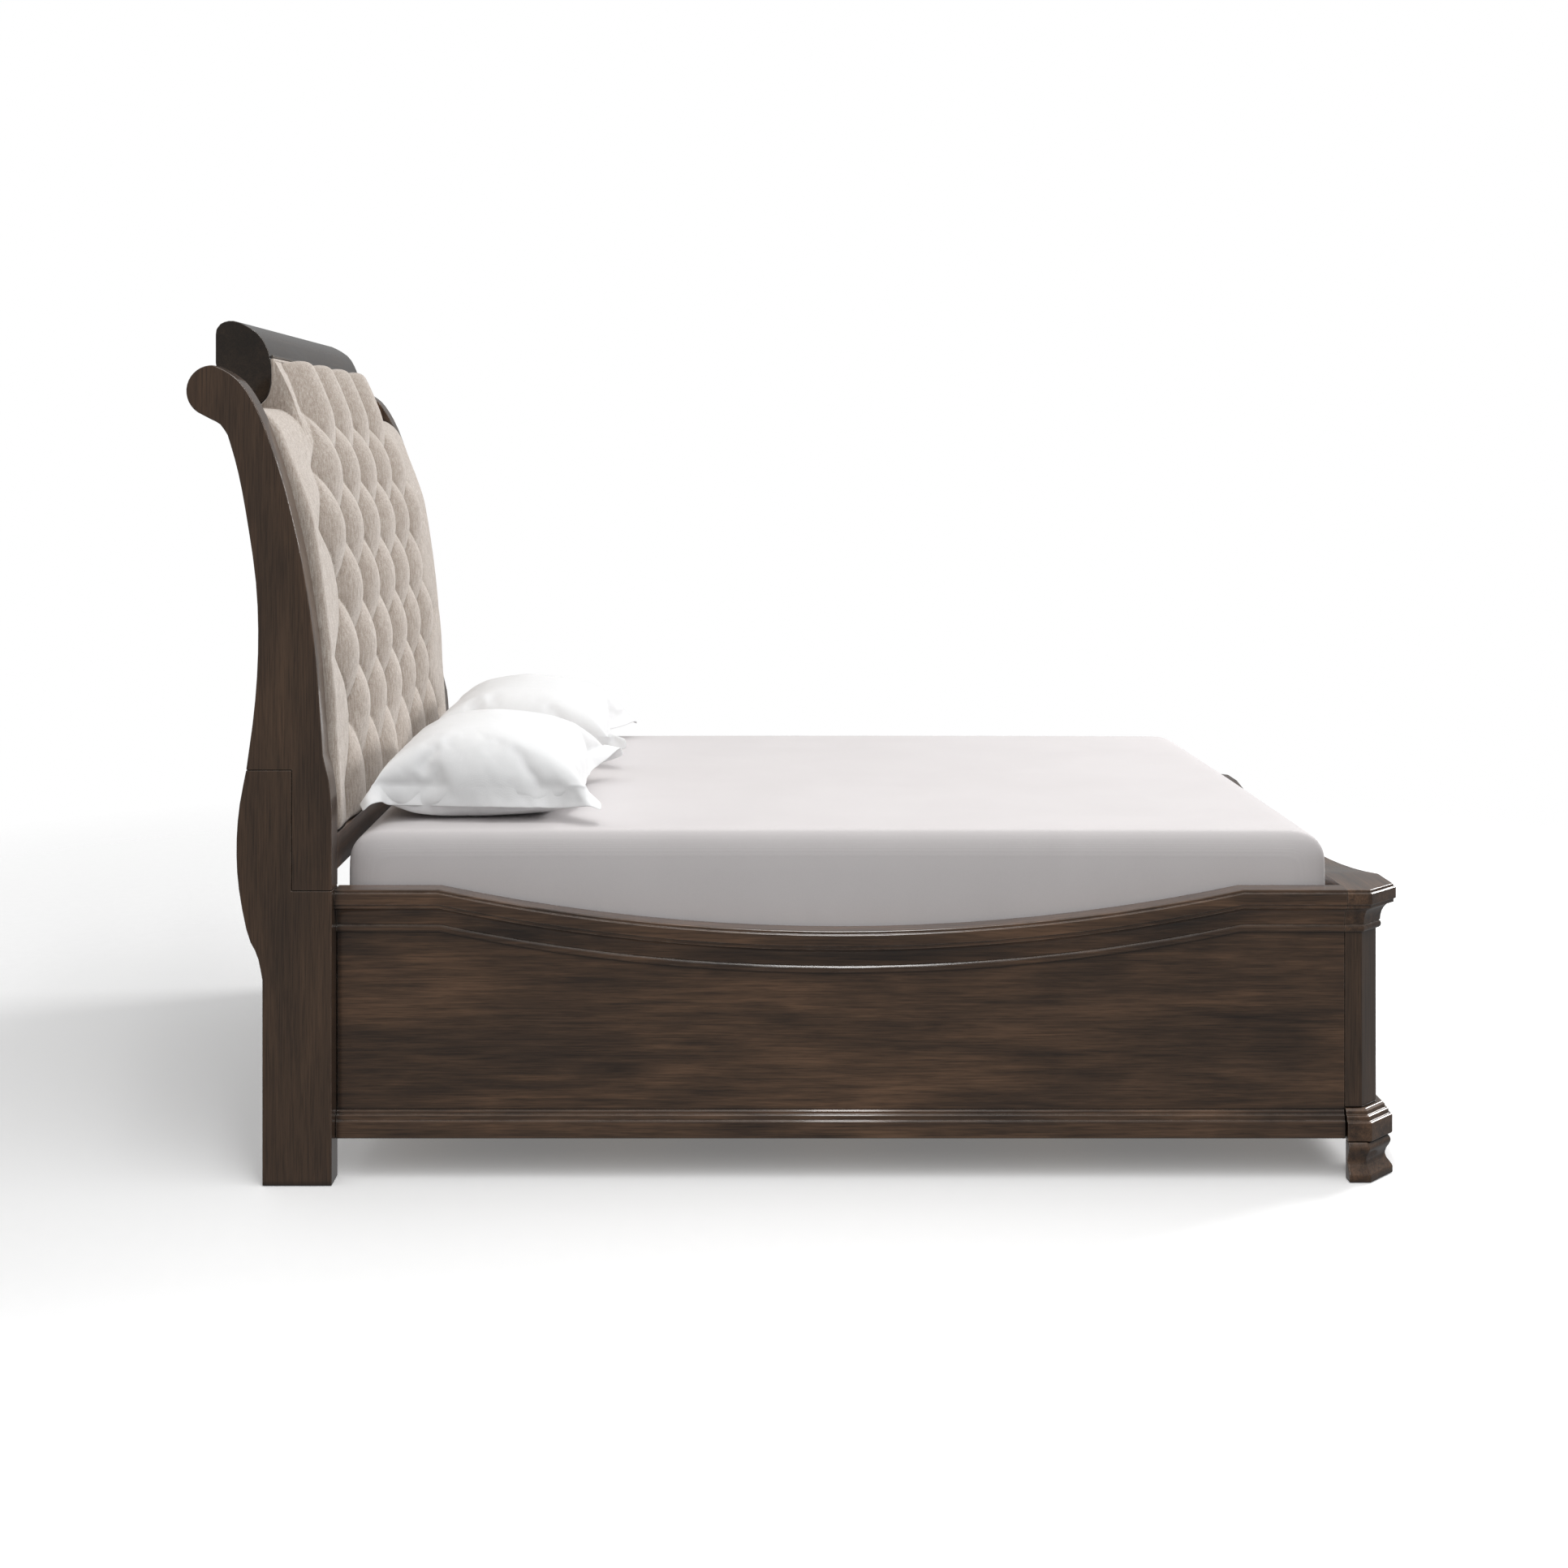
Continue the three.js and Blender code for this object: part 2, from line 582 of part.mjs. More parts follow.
// ---------------------------------------------------------------- assembly
const finishes = {
  dark_wood: { color: 0x3a2d27, roughness: 0.34, metalness: 0 },
  plain_wood: { color: 0xb08d63, roughness: 0.7, metalness: 0 },
  steel: { color: 0x8d8f92, roughness: 0.35, metalness: 0.9 },
  rubber: { color: 0x2a2a2b, roughness: 0.9, metalness: 0 },
  linen: { color: 0xcfc6bd, roughness: 0.95, metalness: 0 },
  ticking: { color: 0xd8d5cf, roughness: 0.95, metalness: 0 },
  sheet: { color: 0xd5d2d0, roughness: 0.9, metalness: 0 },
  pillowcase: { color: 0xeeebe8, roughness: 0.9, metalness: 0 },
};

const bed = new THREE.Group();

function add(name, geometry, finish) {
  geometry.computeVertexNormals();
  const mesh = new THREE.Mesh(geometry, new THREE.MeshStandardMaterial(finishes[finish]));
  mesh.name = name;
  bed.add(mesh);
}

const sides = [['left', -1], ['right', 1]];

for (const [word, side] of sides) {
  add(`headboard_post_${word}`, headboardPost(side), 'dark_wood');
  add(`headboard_leg_${word}`, headboardLeg(side), 'dark_wood');
  add(`rail_board_${word}`, railBoard(side), 'dark_wood');
  add(`rail_cap_${word}`, railCap(side), 'dark_wood');
  add(`rail_cove_${word}`, railCove(side), 'dark_wood');
  add(`rail_base_${word}`, railBase(side), 'dark_wood');
  add(`slat_cleat_${word}`, slatCleat(side), 'plain_wood');
  add(`bracket_head_${word}`, railBracket(side, LEG_FRONT, 1), 'steel');
  add(`bracket_foot_${word}`, railBracket(side, FOOT_BACK - GAP, -1), 'steel');
  add(`bolt_head_${word}`, bracketBolt(side, LEG_FRONT, 1), 'steel');
  add(`bolt_foot_${word}`, bracketBolt(side, FOOT_BACK - GAP, -1), 'steel');
  add(`foot_post_${word}`, footPost(side), 'dark_wood');
  add(`ogee_foot_${word}`, bracketFoot(side), 'dark_wood');
  add(`pillow_${word}`, pillow(side), 'pillowcase');
}

add('crown_rail', crownRail(), 'dark_wood');
add('crown_bead', crownBead(), 'dark_wood');
add('headboard_top_rail', topRail(), 'dark_wood');
add('headboard_lower_rail', lowerRail(), 'dark_wood');
add('headboard_rear_rail', rearRail(), 'dark_wood');
add('headboard_stretcher', stretcher(), 'dark_wood');
add('headboard_back_panel', backPanel(), 'dark_wood');
add('upholstery_board', upholsteryBoard(), 'plain_wood');
RIB_X.forEach((x, i) => add(`headboard_rib_${i + 1}`, rib(x), 'plain_wood'));
add('headboard_pad', pad(), 'linen');

add('footboard_panel', footboardPanel(), 'dark_wood');
add('footboard_cap', footboardCap(), 'dark_wood');
add('footboard_cove', footboardCove(), 'dark_wood');
add('footboard_base', footboardBase(), 'dark_wood');

for (let i = 0; i < SLAT.count; i += 1) add(`slat_${i + 1}`, slat(i), 'plain_wood');
for (const i of [1, 2, 3]) {
  add(`support_leg_${i}`, supportLeg(i), 'plain_wood');
  add(`support_pad_${i}`, legPad(i), 'rubber');
}

add('box_spring', boxSpring(), 'ticking');
add('mattress', mattress(), 'sheet');

export default bed;
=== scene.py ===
"""Looks of a queen sleigh bed: dark stained wood, a diamond-tufted linen headboard and bedding.

Metres. +X runs across the bed, +Y towards the headboard, +Z up. Side outlines are lists of
(run, z), where run is the distance from the back of the crown towards the foot.
"""
import math

import bmesh
import bpy
import numpy as np
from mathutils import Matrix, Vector


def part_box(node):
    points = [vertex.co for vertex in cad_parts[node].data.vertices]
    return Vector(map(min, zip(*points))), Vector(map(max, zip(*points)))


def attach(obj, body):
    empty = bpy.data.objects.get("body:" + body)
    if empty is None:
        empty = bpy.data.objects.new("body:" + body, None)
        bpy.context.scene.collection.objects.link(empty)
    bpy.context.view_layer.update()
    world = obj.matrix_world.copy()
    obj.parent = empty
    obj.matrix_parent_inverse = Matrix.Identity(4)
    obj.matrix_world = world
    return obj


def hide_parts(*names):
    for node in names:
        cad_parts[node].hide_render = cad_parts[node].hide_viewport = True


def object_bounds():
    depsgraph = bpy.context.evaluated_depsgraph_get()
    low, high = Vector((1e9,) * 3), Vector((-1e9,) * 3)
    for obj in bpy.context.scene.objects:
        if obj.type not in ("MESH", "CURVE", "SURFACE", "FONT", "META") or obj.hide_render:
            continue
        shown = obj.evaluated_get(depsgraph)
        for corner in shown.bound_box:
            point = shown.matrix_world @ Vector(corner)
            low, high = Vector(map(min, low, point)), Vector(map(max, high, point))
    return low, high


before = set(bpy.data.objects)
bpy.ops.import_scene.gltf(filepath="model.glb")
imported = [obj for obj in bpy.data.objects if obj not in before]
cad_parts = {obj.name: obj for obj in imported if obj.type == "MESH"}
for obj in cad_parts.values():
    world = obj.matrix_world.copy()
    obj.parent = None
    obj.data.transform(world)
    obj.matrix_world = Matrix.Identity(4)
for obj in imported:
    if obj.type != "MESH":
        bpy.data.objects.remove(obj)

CAD_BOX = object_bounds()

# ------------------------------------------------------------------ places taken from the frame
BACK_Y = CAD_BOX[1].y
MATTRESS_LOW, MATTRESS_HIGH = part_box("mattress")
MATTRESS_DEEP = MATTRESS_HIGH.z - MATTRESS_LOW.z
MATTRESS_LONG = MATTRESS_HIGH.y - MATTRESS_LOW.y
MATTRESS_MIDDLE = (MATTRESS_LOW + MATTRESS_HIGH) / 2
BOX_LOW, BOX_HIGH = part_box("box_spring")
CROWN_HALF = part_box("crown_rail")[1].x
PAD_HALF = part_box("headboard_pad")[1].x - 0.0004


def to_y(run):
    return BACK_Y - run


# ------------------------------------------------------------------ camera and light
CAMERA_HEIGHT = 1.4958
CAMERA_BACK = 4.293
CAMERA_RUN = 1.175
LENS = 48.0
SHIFT = (0.0233, -0.2081)


def make_camera():
    data = bpy.data.cameras.new("camera")
    data.lens = LENS
    data.sensor_width = 36.0
    data.shift_x, data.shift_y = SHIFT
    data.clip_end = 60.0
    camera = bpy.data.objects.new("camera", data)
    camera.location = (CAD_BOX[0].x - CAMERA_BACK, to_y(CAMERA_RUN), CAMERA_HEIGHT)
    camera.rotation_euler = (math.radians(90), 0, math.radians(-90))
    bpy.context.collection.objects.link(camera)
    bpy.context.scene.camera = camera


def area_light(name, place, target, size, power):
    data = bpy.data.lights.new(name, "AREA")
    data.shape = "RECTANGLE"
    data.size, data.size_y = size
    data.energy = power
    lamp = bpy.data.objects.new(name, data)
    lamp.location = place
    lamp.rotation_euler = (Vector(target) - Vector(place)).to_track_quat("-Z", "Y").to_euler()
    bpy.context.collection.objects.link(lamp)


def make_lights():
    area_light("overhead", (0.0, -0.4, 4.8), (0.0, -0.4, 0.0), (6.5, 7.5), 92)
    area_light("near_strip", (-2.9, -0.3, 3.7), (-0.8, -0.3, 0.5), (0.30, 5.6), 88)
    area_light("foot_key", (2.4, -4.6, 3.1), (0.0, 1.0, 1.1), (1.8, 1.4), 215)


# Strength of the room's light at the horizon and overhead.
ROOM_LOW, ROOM_HIGH = 0.30, 0.56


def make_world():
    """A white backdrop, in a room that is bright overhead and dim around the horizon."""
    world = bpy.data.worlds.new("studio")
    world.use_nodes = True
    tree = world.node_tree
    backdrop = tree.nodes["Background"]
    backdrop.inputs["Color"].default_value = (1.0, 1.0, 1.0, 1.0)
    room = tree.nodes.new("ShaderNodeBackground")
    place = tree.nodes.new("ShaderNodeTexCoord")
    parts = tree.nodes.new("ShaderNodeSeparateXYZ")
    rise = tree.nodes.new("ShaderNodeMapRange")
    seen = tree.nodes.new("ShaderNodeLightPath")
    choose = tree.nodes.new("ShaderNodeMixShader")
    span = {"From Min": 0.0, "From Max": 0.9, "To Min": ROOM_LOW, "To Max": ROOM_HIGH}
    for socket, value in span.items():
        rise.inputs[socket].default_value = value
    link = tree.links.new
    link(place.outputs["Generated"], parts.inputs[0])
    link(parts.outputs["Z"], rise.inputs["Value"])
    link(rise.outputs["Result"], room.inputs["Strength"])
    link(seen.outputs["Is Camera Ray"], choose.inputs["Fac"])
    link(room.outputs[0], choose.inputs[1])
    link(backdrop.outputs[0], choose.inputs[2])
    link(choose.outputs[0], tree.nodes["World Output"].inputs["Surface"])
    bpy.context.scene.world = world
    bpy.context.scene.view_settings.view_transform = "Standard"


# ------------------------------------------------------------------ node materials
class Finish:
    """A node material. Numbers given to the constructor are set on the shader's own sockets."""

    def __init__(self, name, **constants):
        self.material = bpy.data.materials.new(name)
        self.material.use_nodes = True
        self.tree = self.material.node_tree
        self.shader = self.tree.nodes["Principled BSDF"]
        for socket, value in constants.items():
            self.shader.inputs[socket.replace("_", " ")].default_value = value
        self.place = self.add("ShaderNodeTexCoord").outputs["Object"]

    def add(self, kind, inputs=None, **settings):
        made = self.tree.nodes.new(kind)
        for key, value in settings.items():
            setattr(made, key, value)
        for key, value in (inputs or {}).items():
            self.put(value, made.inputs[key])
        return made

    def put(self, value, socket):
        if isinstance(value, bpy.types.NodeSocket):
            self.tree.links.new(value, socket)
        else:
            socket.default_value = value

    def stretched(self, scale):
        return self.add("ShaderNodeMapping", {"Vector": self.place, "Scale": scale}).outputs[0]

    def noise(self, where, scale, detail=4.0, rough=0.55, twist=0.0):
        inputs = {"Vector": where, "Scale": scale, "Detail": detail, "Roughness": rough, "Distortion": twist}
        return self.add("ShaderNodeTexNoise", inputs).outputs["Fac"]

    def ramp(self, factor, stops):
        made = self.add("ShaderNodeValToRGB", {"Fac": factor})
        band = made.color_ramp
        while len(band.elements) < len(stops):
            band.elements.new(0.5)
        for element, (spot, colour) in zip(band.elements, stops):
            element.position = spot
            element.color = (*colour, 1.0) if len(colour) == 3 else colour
        return made.outputs["Color"]

    def span(self, value, low, high, to_low, to_high):
        inputs = {"Value": value, "From Min": low, "From Max": high, "To Min": to_low, "To Max": to_high}
        return self.add("ShaderNodeMapRange", inputs).outputs["Result"]

    def maths(self, how, a, b=0.0):
        return self.add("ShaderNodeMath", {0: a, 1: b}, operation=how).outputs[0]

    def mix(self, how, factor, a, b):
        made = self.add("ShaderNodeMix", data_type="RGBA", blend_type=how)
        self.put(factor, made.inputs[0])
        for value, socket in ((a, made.inputs[6]), (b, made.inputs[7])):
            self.put((*value, 1.0) if isinstance(value, tuple) and len(value) == 3 else value, socket)
        return made.outputs[2]

    def shade(self, base, factor, stops):
        """A colour multiplied by a ramp of a factor."""
        return self.mix("MULTIPLY", 1.0, base, self.ramp(factor, stops))

    def bump(self, height, distance, strength=1.0):
        inputs = {"Height": height, "Distance": distance, "Strength": strength}
        self.put(self.add("ShaderNodeBump", inputs).outputs[0], self.shader.inputs["Normal"])

    def colour(self, value):
        self.put(value, self.shader.inputs["Base Color"])

    def roughness(self, value):
        self.put(value, self.shader.inputs["Roughness"])


def along(axis, stretch):
    """A mapping scale that draws a pattern out along one axis."""
    return tuple(stretch if name == axis else 1.0 for name in "XYZ")


DARK_STAIN = (0.0370, 0.0212, 0.0135)
MID_STAIN = (0.0940, 0.0530, 0.0305)
LIGHT_STAIN = (0.1720, 0.0970, 0.0560)
# Lighter colour on the edges: rubbed finish, and also a painted highlight along the arrises.
WORN_EDGE_AND_HIGHLIGHT = (0.2700, 0.2200, 0.1800)


def dark_wood(axis, name, tint=(1.0, 1.0, 1.0), contrast=1.0):
    """Espresso stained wood with grain along one axis, its corners darkened partly by a dark glaze and partly
    by painted shade, and rubbed edges that also carry a painted highlight.

    tint multiplies its open faces, and contrast is the strength of its figure.
    """
    made = Finish(name, Specular_IOR_Level=0.30, Coat_Weight=0.85, Coat_Roughness=0.10)
    streak = made.noise(made.stretched(along(axis, 0.045)), 90.0, 6.0, 0.62, 0.3)
    figure = made.noise(made.stretched(along(axis, 0.20)), 13.0, 4.0, 0.55, 0.6)
    pores = made.noise(made.stretched(along(axis, 0.03)), 330.0, 3.0, 0.7)
    glaze = made.noise(made.stretched(along(axis, 0.32)), 7.0, 4.0, 0.58, 0.5)
    blend = made.maths("MULTIPLY", made.maths("ADD", streak, figure), 0.5)
    spread = 0.15 / contrast
    stain = made.ramp(blend, [(0.5 - spread, DARK_STAIN), (0.5, MID_STAIN), (0.5 + spread, LIGHT_STAIN)])
    stain = made.shade(stain, pores, [(0.34, (0.62, 0.60, 0.58)), (0.55, (1.10, 1.09, 1.08))])
    stain = made.shade(stain, glaze, [(0.34, (0.72, 0.73, 0.76)), (0.56, (1.06, 1.04, 1.01))])
    # Darkens corners and grooves: partly the dark glaze the finish holds there, partly painted shade in the
    # mouldings' hollows.
    hollow_shade = made.add("ShaderNodeAmbientOcclusion", {"Distance": 0.022}, samples=8).outputs["AO"]
    stain = made.shade(stain, hollow_shade, [(0.46, (0.06, 0.05, 0.05)), (0.84, tint)])
    # Lightens the edges: rubbed finish together with a painted highlight.
    made.colour(made.mix("MIX", edge_rub_and_highlight(made), stain, WORN_EDGE_AND_HIGHLIGHT))
    made.roughness(made.span(glaze, 0.3, 0.7, 0.27, 0.42))
    made.bump(pores, 0.0004, 0.35)
    return made.material


def edge_rub_and_highlight(made):
    """0 on flat wood, rising on edges in patches: partly where the finish is rubbed thin, partly a painted
    highlight along the arrises.
    """
    rounded = made.add("ShaderNodeBevel", {"Radius": 0.0035}, samples=6).outputs[0]
    true = made.add("ShaderNodeNewGeometry").outputs["True Normal"]
    turn = made.add("ShaderNodeVectorMath", {0: rounded, 1: true}, operation="DOT_PRODUCT").outputs["Value"]
    edge = made.span(turn, 0.985, 0.90, 0.0, 1.0)
    patch = made.span(made.noise(made.place, 38.0, 6.0, 0.7), 0.38, 0.66, 0.10, 0.85)
    return made.maths("MULTIPLY", edge, patch)


def plain_wood():
    made = Finish("plain_wood", Specular_IOR_Level=0.3)
    rings = made.noise(made.stretched((0.08, 1.0, 1.0)), 40.0, 5.0, 0.6, 0.5)
    fibre = made.noise(made.stretched((0.03, 1.0, 1.0)), 380.0, 3.0, 0.7)
    tones = [(0.32, (0.40, 0.25, 0.13)), (0.5, (0.52, 0.36, 0.20)), (0.68, (0.62, 0.46, 0.29))]
    base = made.ramp(rings, tones)
    made.colour(made.shade(base, fibre, [(0.3, (0.8, 0.78, 0.75)), (0.6, (1.05, 1.04, 1.03))]))
    made.roughness(made.span(rings, 0.3, 0.7, 0.62, 0.78))
    made.bump(fibre, 0.0005, 0.5)
    return made.material


def steel():
    made = Finish("steel", Metallic=1.0)
    brushed = made.noise(made.stretched((1.0, 1.0, 0.05)), 700.0, 2.0, 0.6)
    spots = made.noise(made.place, 60.0, 5.0, 0.6)
    made.colour(made.ramp(spots, [(0.35, (0.40, 0.40, 0.41)), (0.65, (0.58, 0.58, 0.59))]))
    made.roughness(made.span(brushed, 0.3, 0.7, 0.28, 0.46))
    made.bump(brushed, 0.0001, 0.3)
    return made.material


def rubber():
    made = Finish("rubber", Specular_IOR_Level=0.3)
    grain = made.noise(made.place, 500.0, 4.0, 0.6)
    made.colour(made.ramp(grain, [(0.3, (0.018, 0.018, 0.019)), (0.7, (0.032, 0.032, 0.033))]))
    made.roughness(made.span(grain, 0.3, 0.7, 0.7, 0.9))
    made.bump(grain, 0.0003, 0.4)
    return made.material


def threads(made, across, up, period):
    """A plain weave's height: two crossed sets of threads of one period."""
    scale = 2 * math.pi / 20 / period
    sets = []
    for axis in (across, up):
        inputs = {"Vector": made.place, "Scale": scale, "Distortion": 0.6}
        wave = made.add("ShaderNodeTexWave", inputs, bands_direction=axis)
        sets.append(wave.outputs["Fac"])
    return made.maths("MULTIPLY", *sets)


def linen():
    """Beige-grey linen with upright slubs, pale heather, a coarse weave, painted shade in the hollows between
    its tufts and painted shade on the faces that turn towards -X.
    """
    made = Finish("linen", Specular_IOR_Level=0.10, Sheen_Weight=0.35, Sheen_Roughness=0.35)
    slubs = made.noise(made.stretched((1.0, 1.0, 0.16)), 260.0, 3.0, 0.65)
    heather = made.noise(made.stretched((0.3, 1.0, 1.0)), 420.0, 2.0, 0.6)
    tone = made.noise(made.place, 5.0, 3.0, 0.5)
    tones = [(0.3, (0.42, 0.36, 0.315)), (0.5, (0.56, 0.50, 0.45)), (0.7, (0.68, 0.635, 0.59))]
    base = made.ramp(slubs, tones)
    base = made.shade(base, heather, [(0.3, (0.84, 0.83, 0.82)), (0.66, (1.10, 1.10, 1.10))])
    base = made.shade(base, tone, [(0.3, (0.95, 0.94, 0.93)), (0.7, (1.03, 1.03, 1.03))])
    local = {"samples": 12, "only_local": True}
    # Painted shade in the creases and hollows between the tufts.
    hollow_shade = made.add("ShaderNodeAmbientOcclusion", {"Distance": 0.11}, **local).outputs["AO"]
    base = made.shade(base, hollow_shade, [(0.46, (0.40, 0.36, 0.33)), (0.93, (1.0, 1.0, 1.0))])
    # Painted shade: faces turning towards -X are darkened, to deepen the shading of the tufts.
    turned = made.add("ShaderNodeTexCoord").outputs["Normal"]
    shaded_side = {0: turned, 1: (-1.0, 0.0, 0.1)}
    nap_and_side_shade = made.add("ShaderNodeVectorMath", shaded_side, operation="DOT_PRODUCT").outputs["Value"]
    base = made.shade(base, nap_and_side_shade, [(0.0, (1.03, 1.03, 1.03)), (0.5, (0.70, 0.68, 0.66))])
    made.colour(base)
    made.roughness(made.span(slubs, 0.3, 0.7, 0.82, 0.96))
    weave = made.maths("ADD", threads(made, "X", "Z", 0.0017), made.maths("MULTIPLY", slubs, 1.4))
    made.bump(weave, 0.0006, 0.55)
    return made.material


def cotton(name, low, high, crease, up="Y", period=0.0009):
    """Smooth cotton: a fine weave, a faint change of tone and soft creases of a given depth."""
    made = Finish(name, Specular_IOR_Level=0.15, Sheen_Weight=0.15, Sheen_Roughness=0.4)
    tone = made.noise(made.place, 4.0, 4.0, 0.55, 0.3)
    nap_and_side_shade = made.noise(made.place, 900.0, 2.0, 0.6)
    base = made.ramp(tone, [(0.32, low), (0.68, high)])
    made.colour(made.shade(base, nap_and_side_shade, [(0.3, (0.965, 0.965, 0.965)), (0.7, (1.02, 1.02, 1.02))]))
    made.roughness(made.span(nap_and_side_shade, 0.3, 0.7, 0.78, 0.9))
    folds = made.noise(made.place, 13.0, 5.0, 0.55, 0.9)
    weave = made.maths("MULTIPLY", threads(made, "X", up, period), 0.03)
    made.bump(made.maths("ADD", made.maths("MULTIPLY", folds, crease), weave), 0.008, 0.5)
    return made.material


def dust_cover():
    made = Finish("dust_cover", Specular_IOR_Level=0.1)
    felt = made.noise(made.place, 700.0, 4.0, 0.7)
    made.colour(made.ramp(felt, [(0.3, (0.035, 0.035, 0.037)), (0.7, (0.065, 0.065, 0.068))]))
    made.roughness(made.span(felt, 0.3, 0.7, 0.85, 0.97))
    made.bump(felt, 0.0004, 0.5)
    return made.material


def floor_paint(fade_from, fade_to):
    """A pale matte floor that fades out into the backdrop far from the bed."""
    glow = {"Emission_Color": (1.0, 1.0, 1.0, 1.0), "Emission_Strength": 0.16}
    made = Finish("floor_paint", Specular_IOR_Level=0.1, **glow)
    speckle = made.noise(made.place, 30.0, 4.0, 0.5)
    made.colour(made.ramp(speckle, [(0.3, (0.95, 0.95, 0.95)), (0.7, (0.97, 0.97, 0.97))]))
    made.roughness(made.span(speckle, 0.3, 0.7, 0.85, 0.95))
    reach = made.add("ShaderNodeVectorMath", {0: made.place}, operation="LENGTH").outputs["Value"]
    made.put(made.span(reach, fade_from, fade_to, 1.0, 0.0), made.shader.inputs["Alpha"])
    return made.material


# ------------------------------------------------------------------ mesh helpers
def new_piece(name, points, faces, material, body, smooth=True):
    mesh = bpy.data.meshes.new(name)
    mesh.from_pydata([tuple(p) for p in points], [], [tuple(f) for f in faces])
    mesh.validate()
    piece = bpy.data.objects.new(name, mesh)
    bpy.context.collection.objects.link(piece)
    mesh.materials.append(material)
    mesh.polygons.foreach_set("use_smooth", [smooth] * len(mesh.polygons))
    face_out(mesh)
    if body:
        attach(piece, body)
    return piece


def face_out(mesh):
    bm = bmesh.new()
    bm.from_mesh(mesh)
    bmesh.ops.recalc_face_normals(bm, faces=bm.faces)
    bm.to_mesh(mesh)
    bm.free()


def smooth_curve(points, count):
    """Even steps along a Catmull-Rom curve through the points."""
    points = np.array(points, float)
    padded = np.vstack([2 * points[0] - points[1], points, 2 * points[-1] - points[-2]])
    dense = []
    for i in range(1, len(padded) - 2):
        a, b, c, d = padded[i - 1:i + 3]
        t = np.linspace(0, 1, 40, endpoint=False)[:, None]
        square, cube = 2 * a - 5 * b + 4 * c - d, 3 * b - a - 3 * c + d
        dense.append(0.5 * (2 * b + (c - a) * t + square * t**2 + cube * t**3))
    dense = np.vstack([*dense, points[-1:]])
    return even_steps(dense, count)


def even_steps(line, count):
    length = np.concatenate([[0], np.cumsum(np.linalg.norm(np.diff(line, axis=0), axis=1))])
    want = np.linspace(0, length[-1], count)
    return np.column_stack([np.interp(want, length, line[:, k]) for k in range(line.shape[1])])


def tube(name, path, radius, material, body, sides=10, closed=False):
    """A round trim along a path of 3-D points."""
    path = np.array(path, float)
    count = len(path)
    if closed:
        forward = np.roll(path, -1, axis=0) - np.roll(path, 1, axis=0)
    else:
        forward = np.gradient(path, axis=0)
    forward /= np.linalg.norm(forward, axis=1)[:, None]
    side = np.cross(forward[0], (0, 0, 1))
    if np.linalg.norm(side) < 1e-3:
        side = np.cross(forward[0], (0, 1, 0))
    rings = []
    for i in range(count):
        side = side - forward[i] * np.dot(side, forward[i])
        side = side / np.linalg.norm(side)
        up = np.cross(side, forward[i])
        for k in range(sides):
            turn = 2 * math.pi * k / sides
            rings.append(path[i] + radius * (math.cos(turn) * side + math.sin(turn) * up))
    faces = []
    for i in range(count if closed else count - 1):
        j = (i + 1) % count
        for k in range(sides):
            m = (k + 1) % sides
            faces.append((i * sides + k, i * sides + m, j * sides + m, j * sides + k))
    if not closed:
        faces.append(tuple(range(sides)))
        faces.append(tuple(range((count - 1) * sides, count * sides)))
    return new_piece(name, rings, faces, material, body)


def soft_block(low, high, radii, step):
    """Points and quads of a box with rounded edges: radii are its roundings along X, Y and Z."""
    low, high, radii = np.array(low), np.array(high), np.array(radii)
    bm = bmesh.new()
    ticks = [axis_ticks(low[k], high[k], radii[k], step) for k in range(3)]
    made = {}

    def corner(i, j, k):
        key = (i, j, k)
        if key not in made:
            raw = np.array([ticks[0][i], ticks[1][j], ticks[2][k]])
            inner = np.clip(raw, low + radii, high - radii)
            push = (raw - inner) / radii
            size = np.linalg.norm(push)
            made[key] = bm.verts.new(inner + (push / size * radii if size > 0 else 0))
        return made[key]

    last = [len(t) - 1 for t in ticks]
    for flat in range(3):
        a, b = [k for k in range(3) if k != flat]
        for end in (0, last[flat]):
            for i in range(last[a]):
                for j in range(last[b]):
                    ring = []
                    for di, dj in ((0, 0), (1, 0), (1, 1), (0, 1)):
                        key = [0, 0, 0]
                        key[flat], key[a], key[b] = end, i + di, j + dj
                        ring.append(corner(*key))
                    bm.faces.new(ring)
    bmesh.ops.recalc_face_normals(bm, faces=bm.faces)
    return bm


def axis_ticks(low, high, radius, step):
    """Places along an edge: close together over its rounded ends and evenly between them."""
    turns = 5
    ends = [radius * (1 - math.cos(math.pi / 2 * i / turns)) for i in range(turns)]
    count = max(2, round((high - low - 2 * radius) / step))
    middle = np.linspace(low + radius, high - radius, count + 1)
    return np.concatenate([[low + e for e in ends], middle, [high - e for e in reversed(ends)]])


def piece_from_bmesh(name, bm, material, body):
    mesh = bpy.data.meshes.new(name)
    bm.to_mesh(mesh)
    bm.free()
    mesh.polygons.foreach_set("use_smooth", [True] * len(mesh.polygons))
    mesh.materials.append(material)
    piece = bpy.data.objects.new(name, mesh)
    bpy.context.collection.objects.link(piece)
    if body:
        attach(piece, body)
    return piece


def apply_modifiers(piece):
    """Replaces a piece's mesh by its evaluated one, and drops its modifiers."""
    evaluated = piece.evaluated_get(bpy.context.evaluated_depsgraph_get())
    mesh = bpy.data.meshes.new_from_object(evaluated)
    piece.modifiers.clear()
    piece.data = mesh


# ------------------------------------------------------------------ wood pieces
# Steps smaller than this, where two solids of one piece meet, are closed.
SEAM_STEP = 1.5e-4


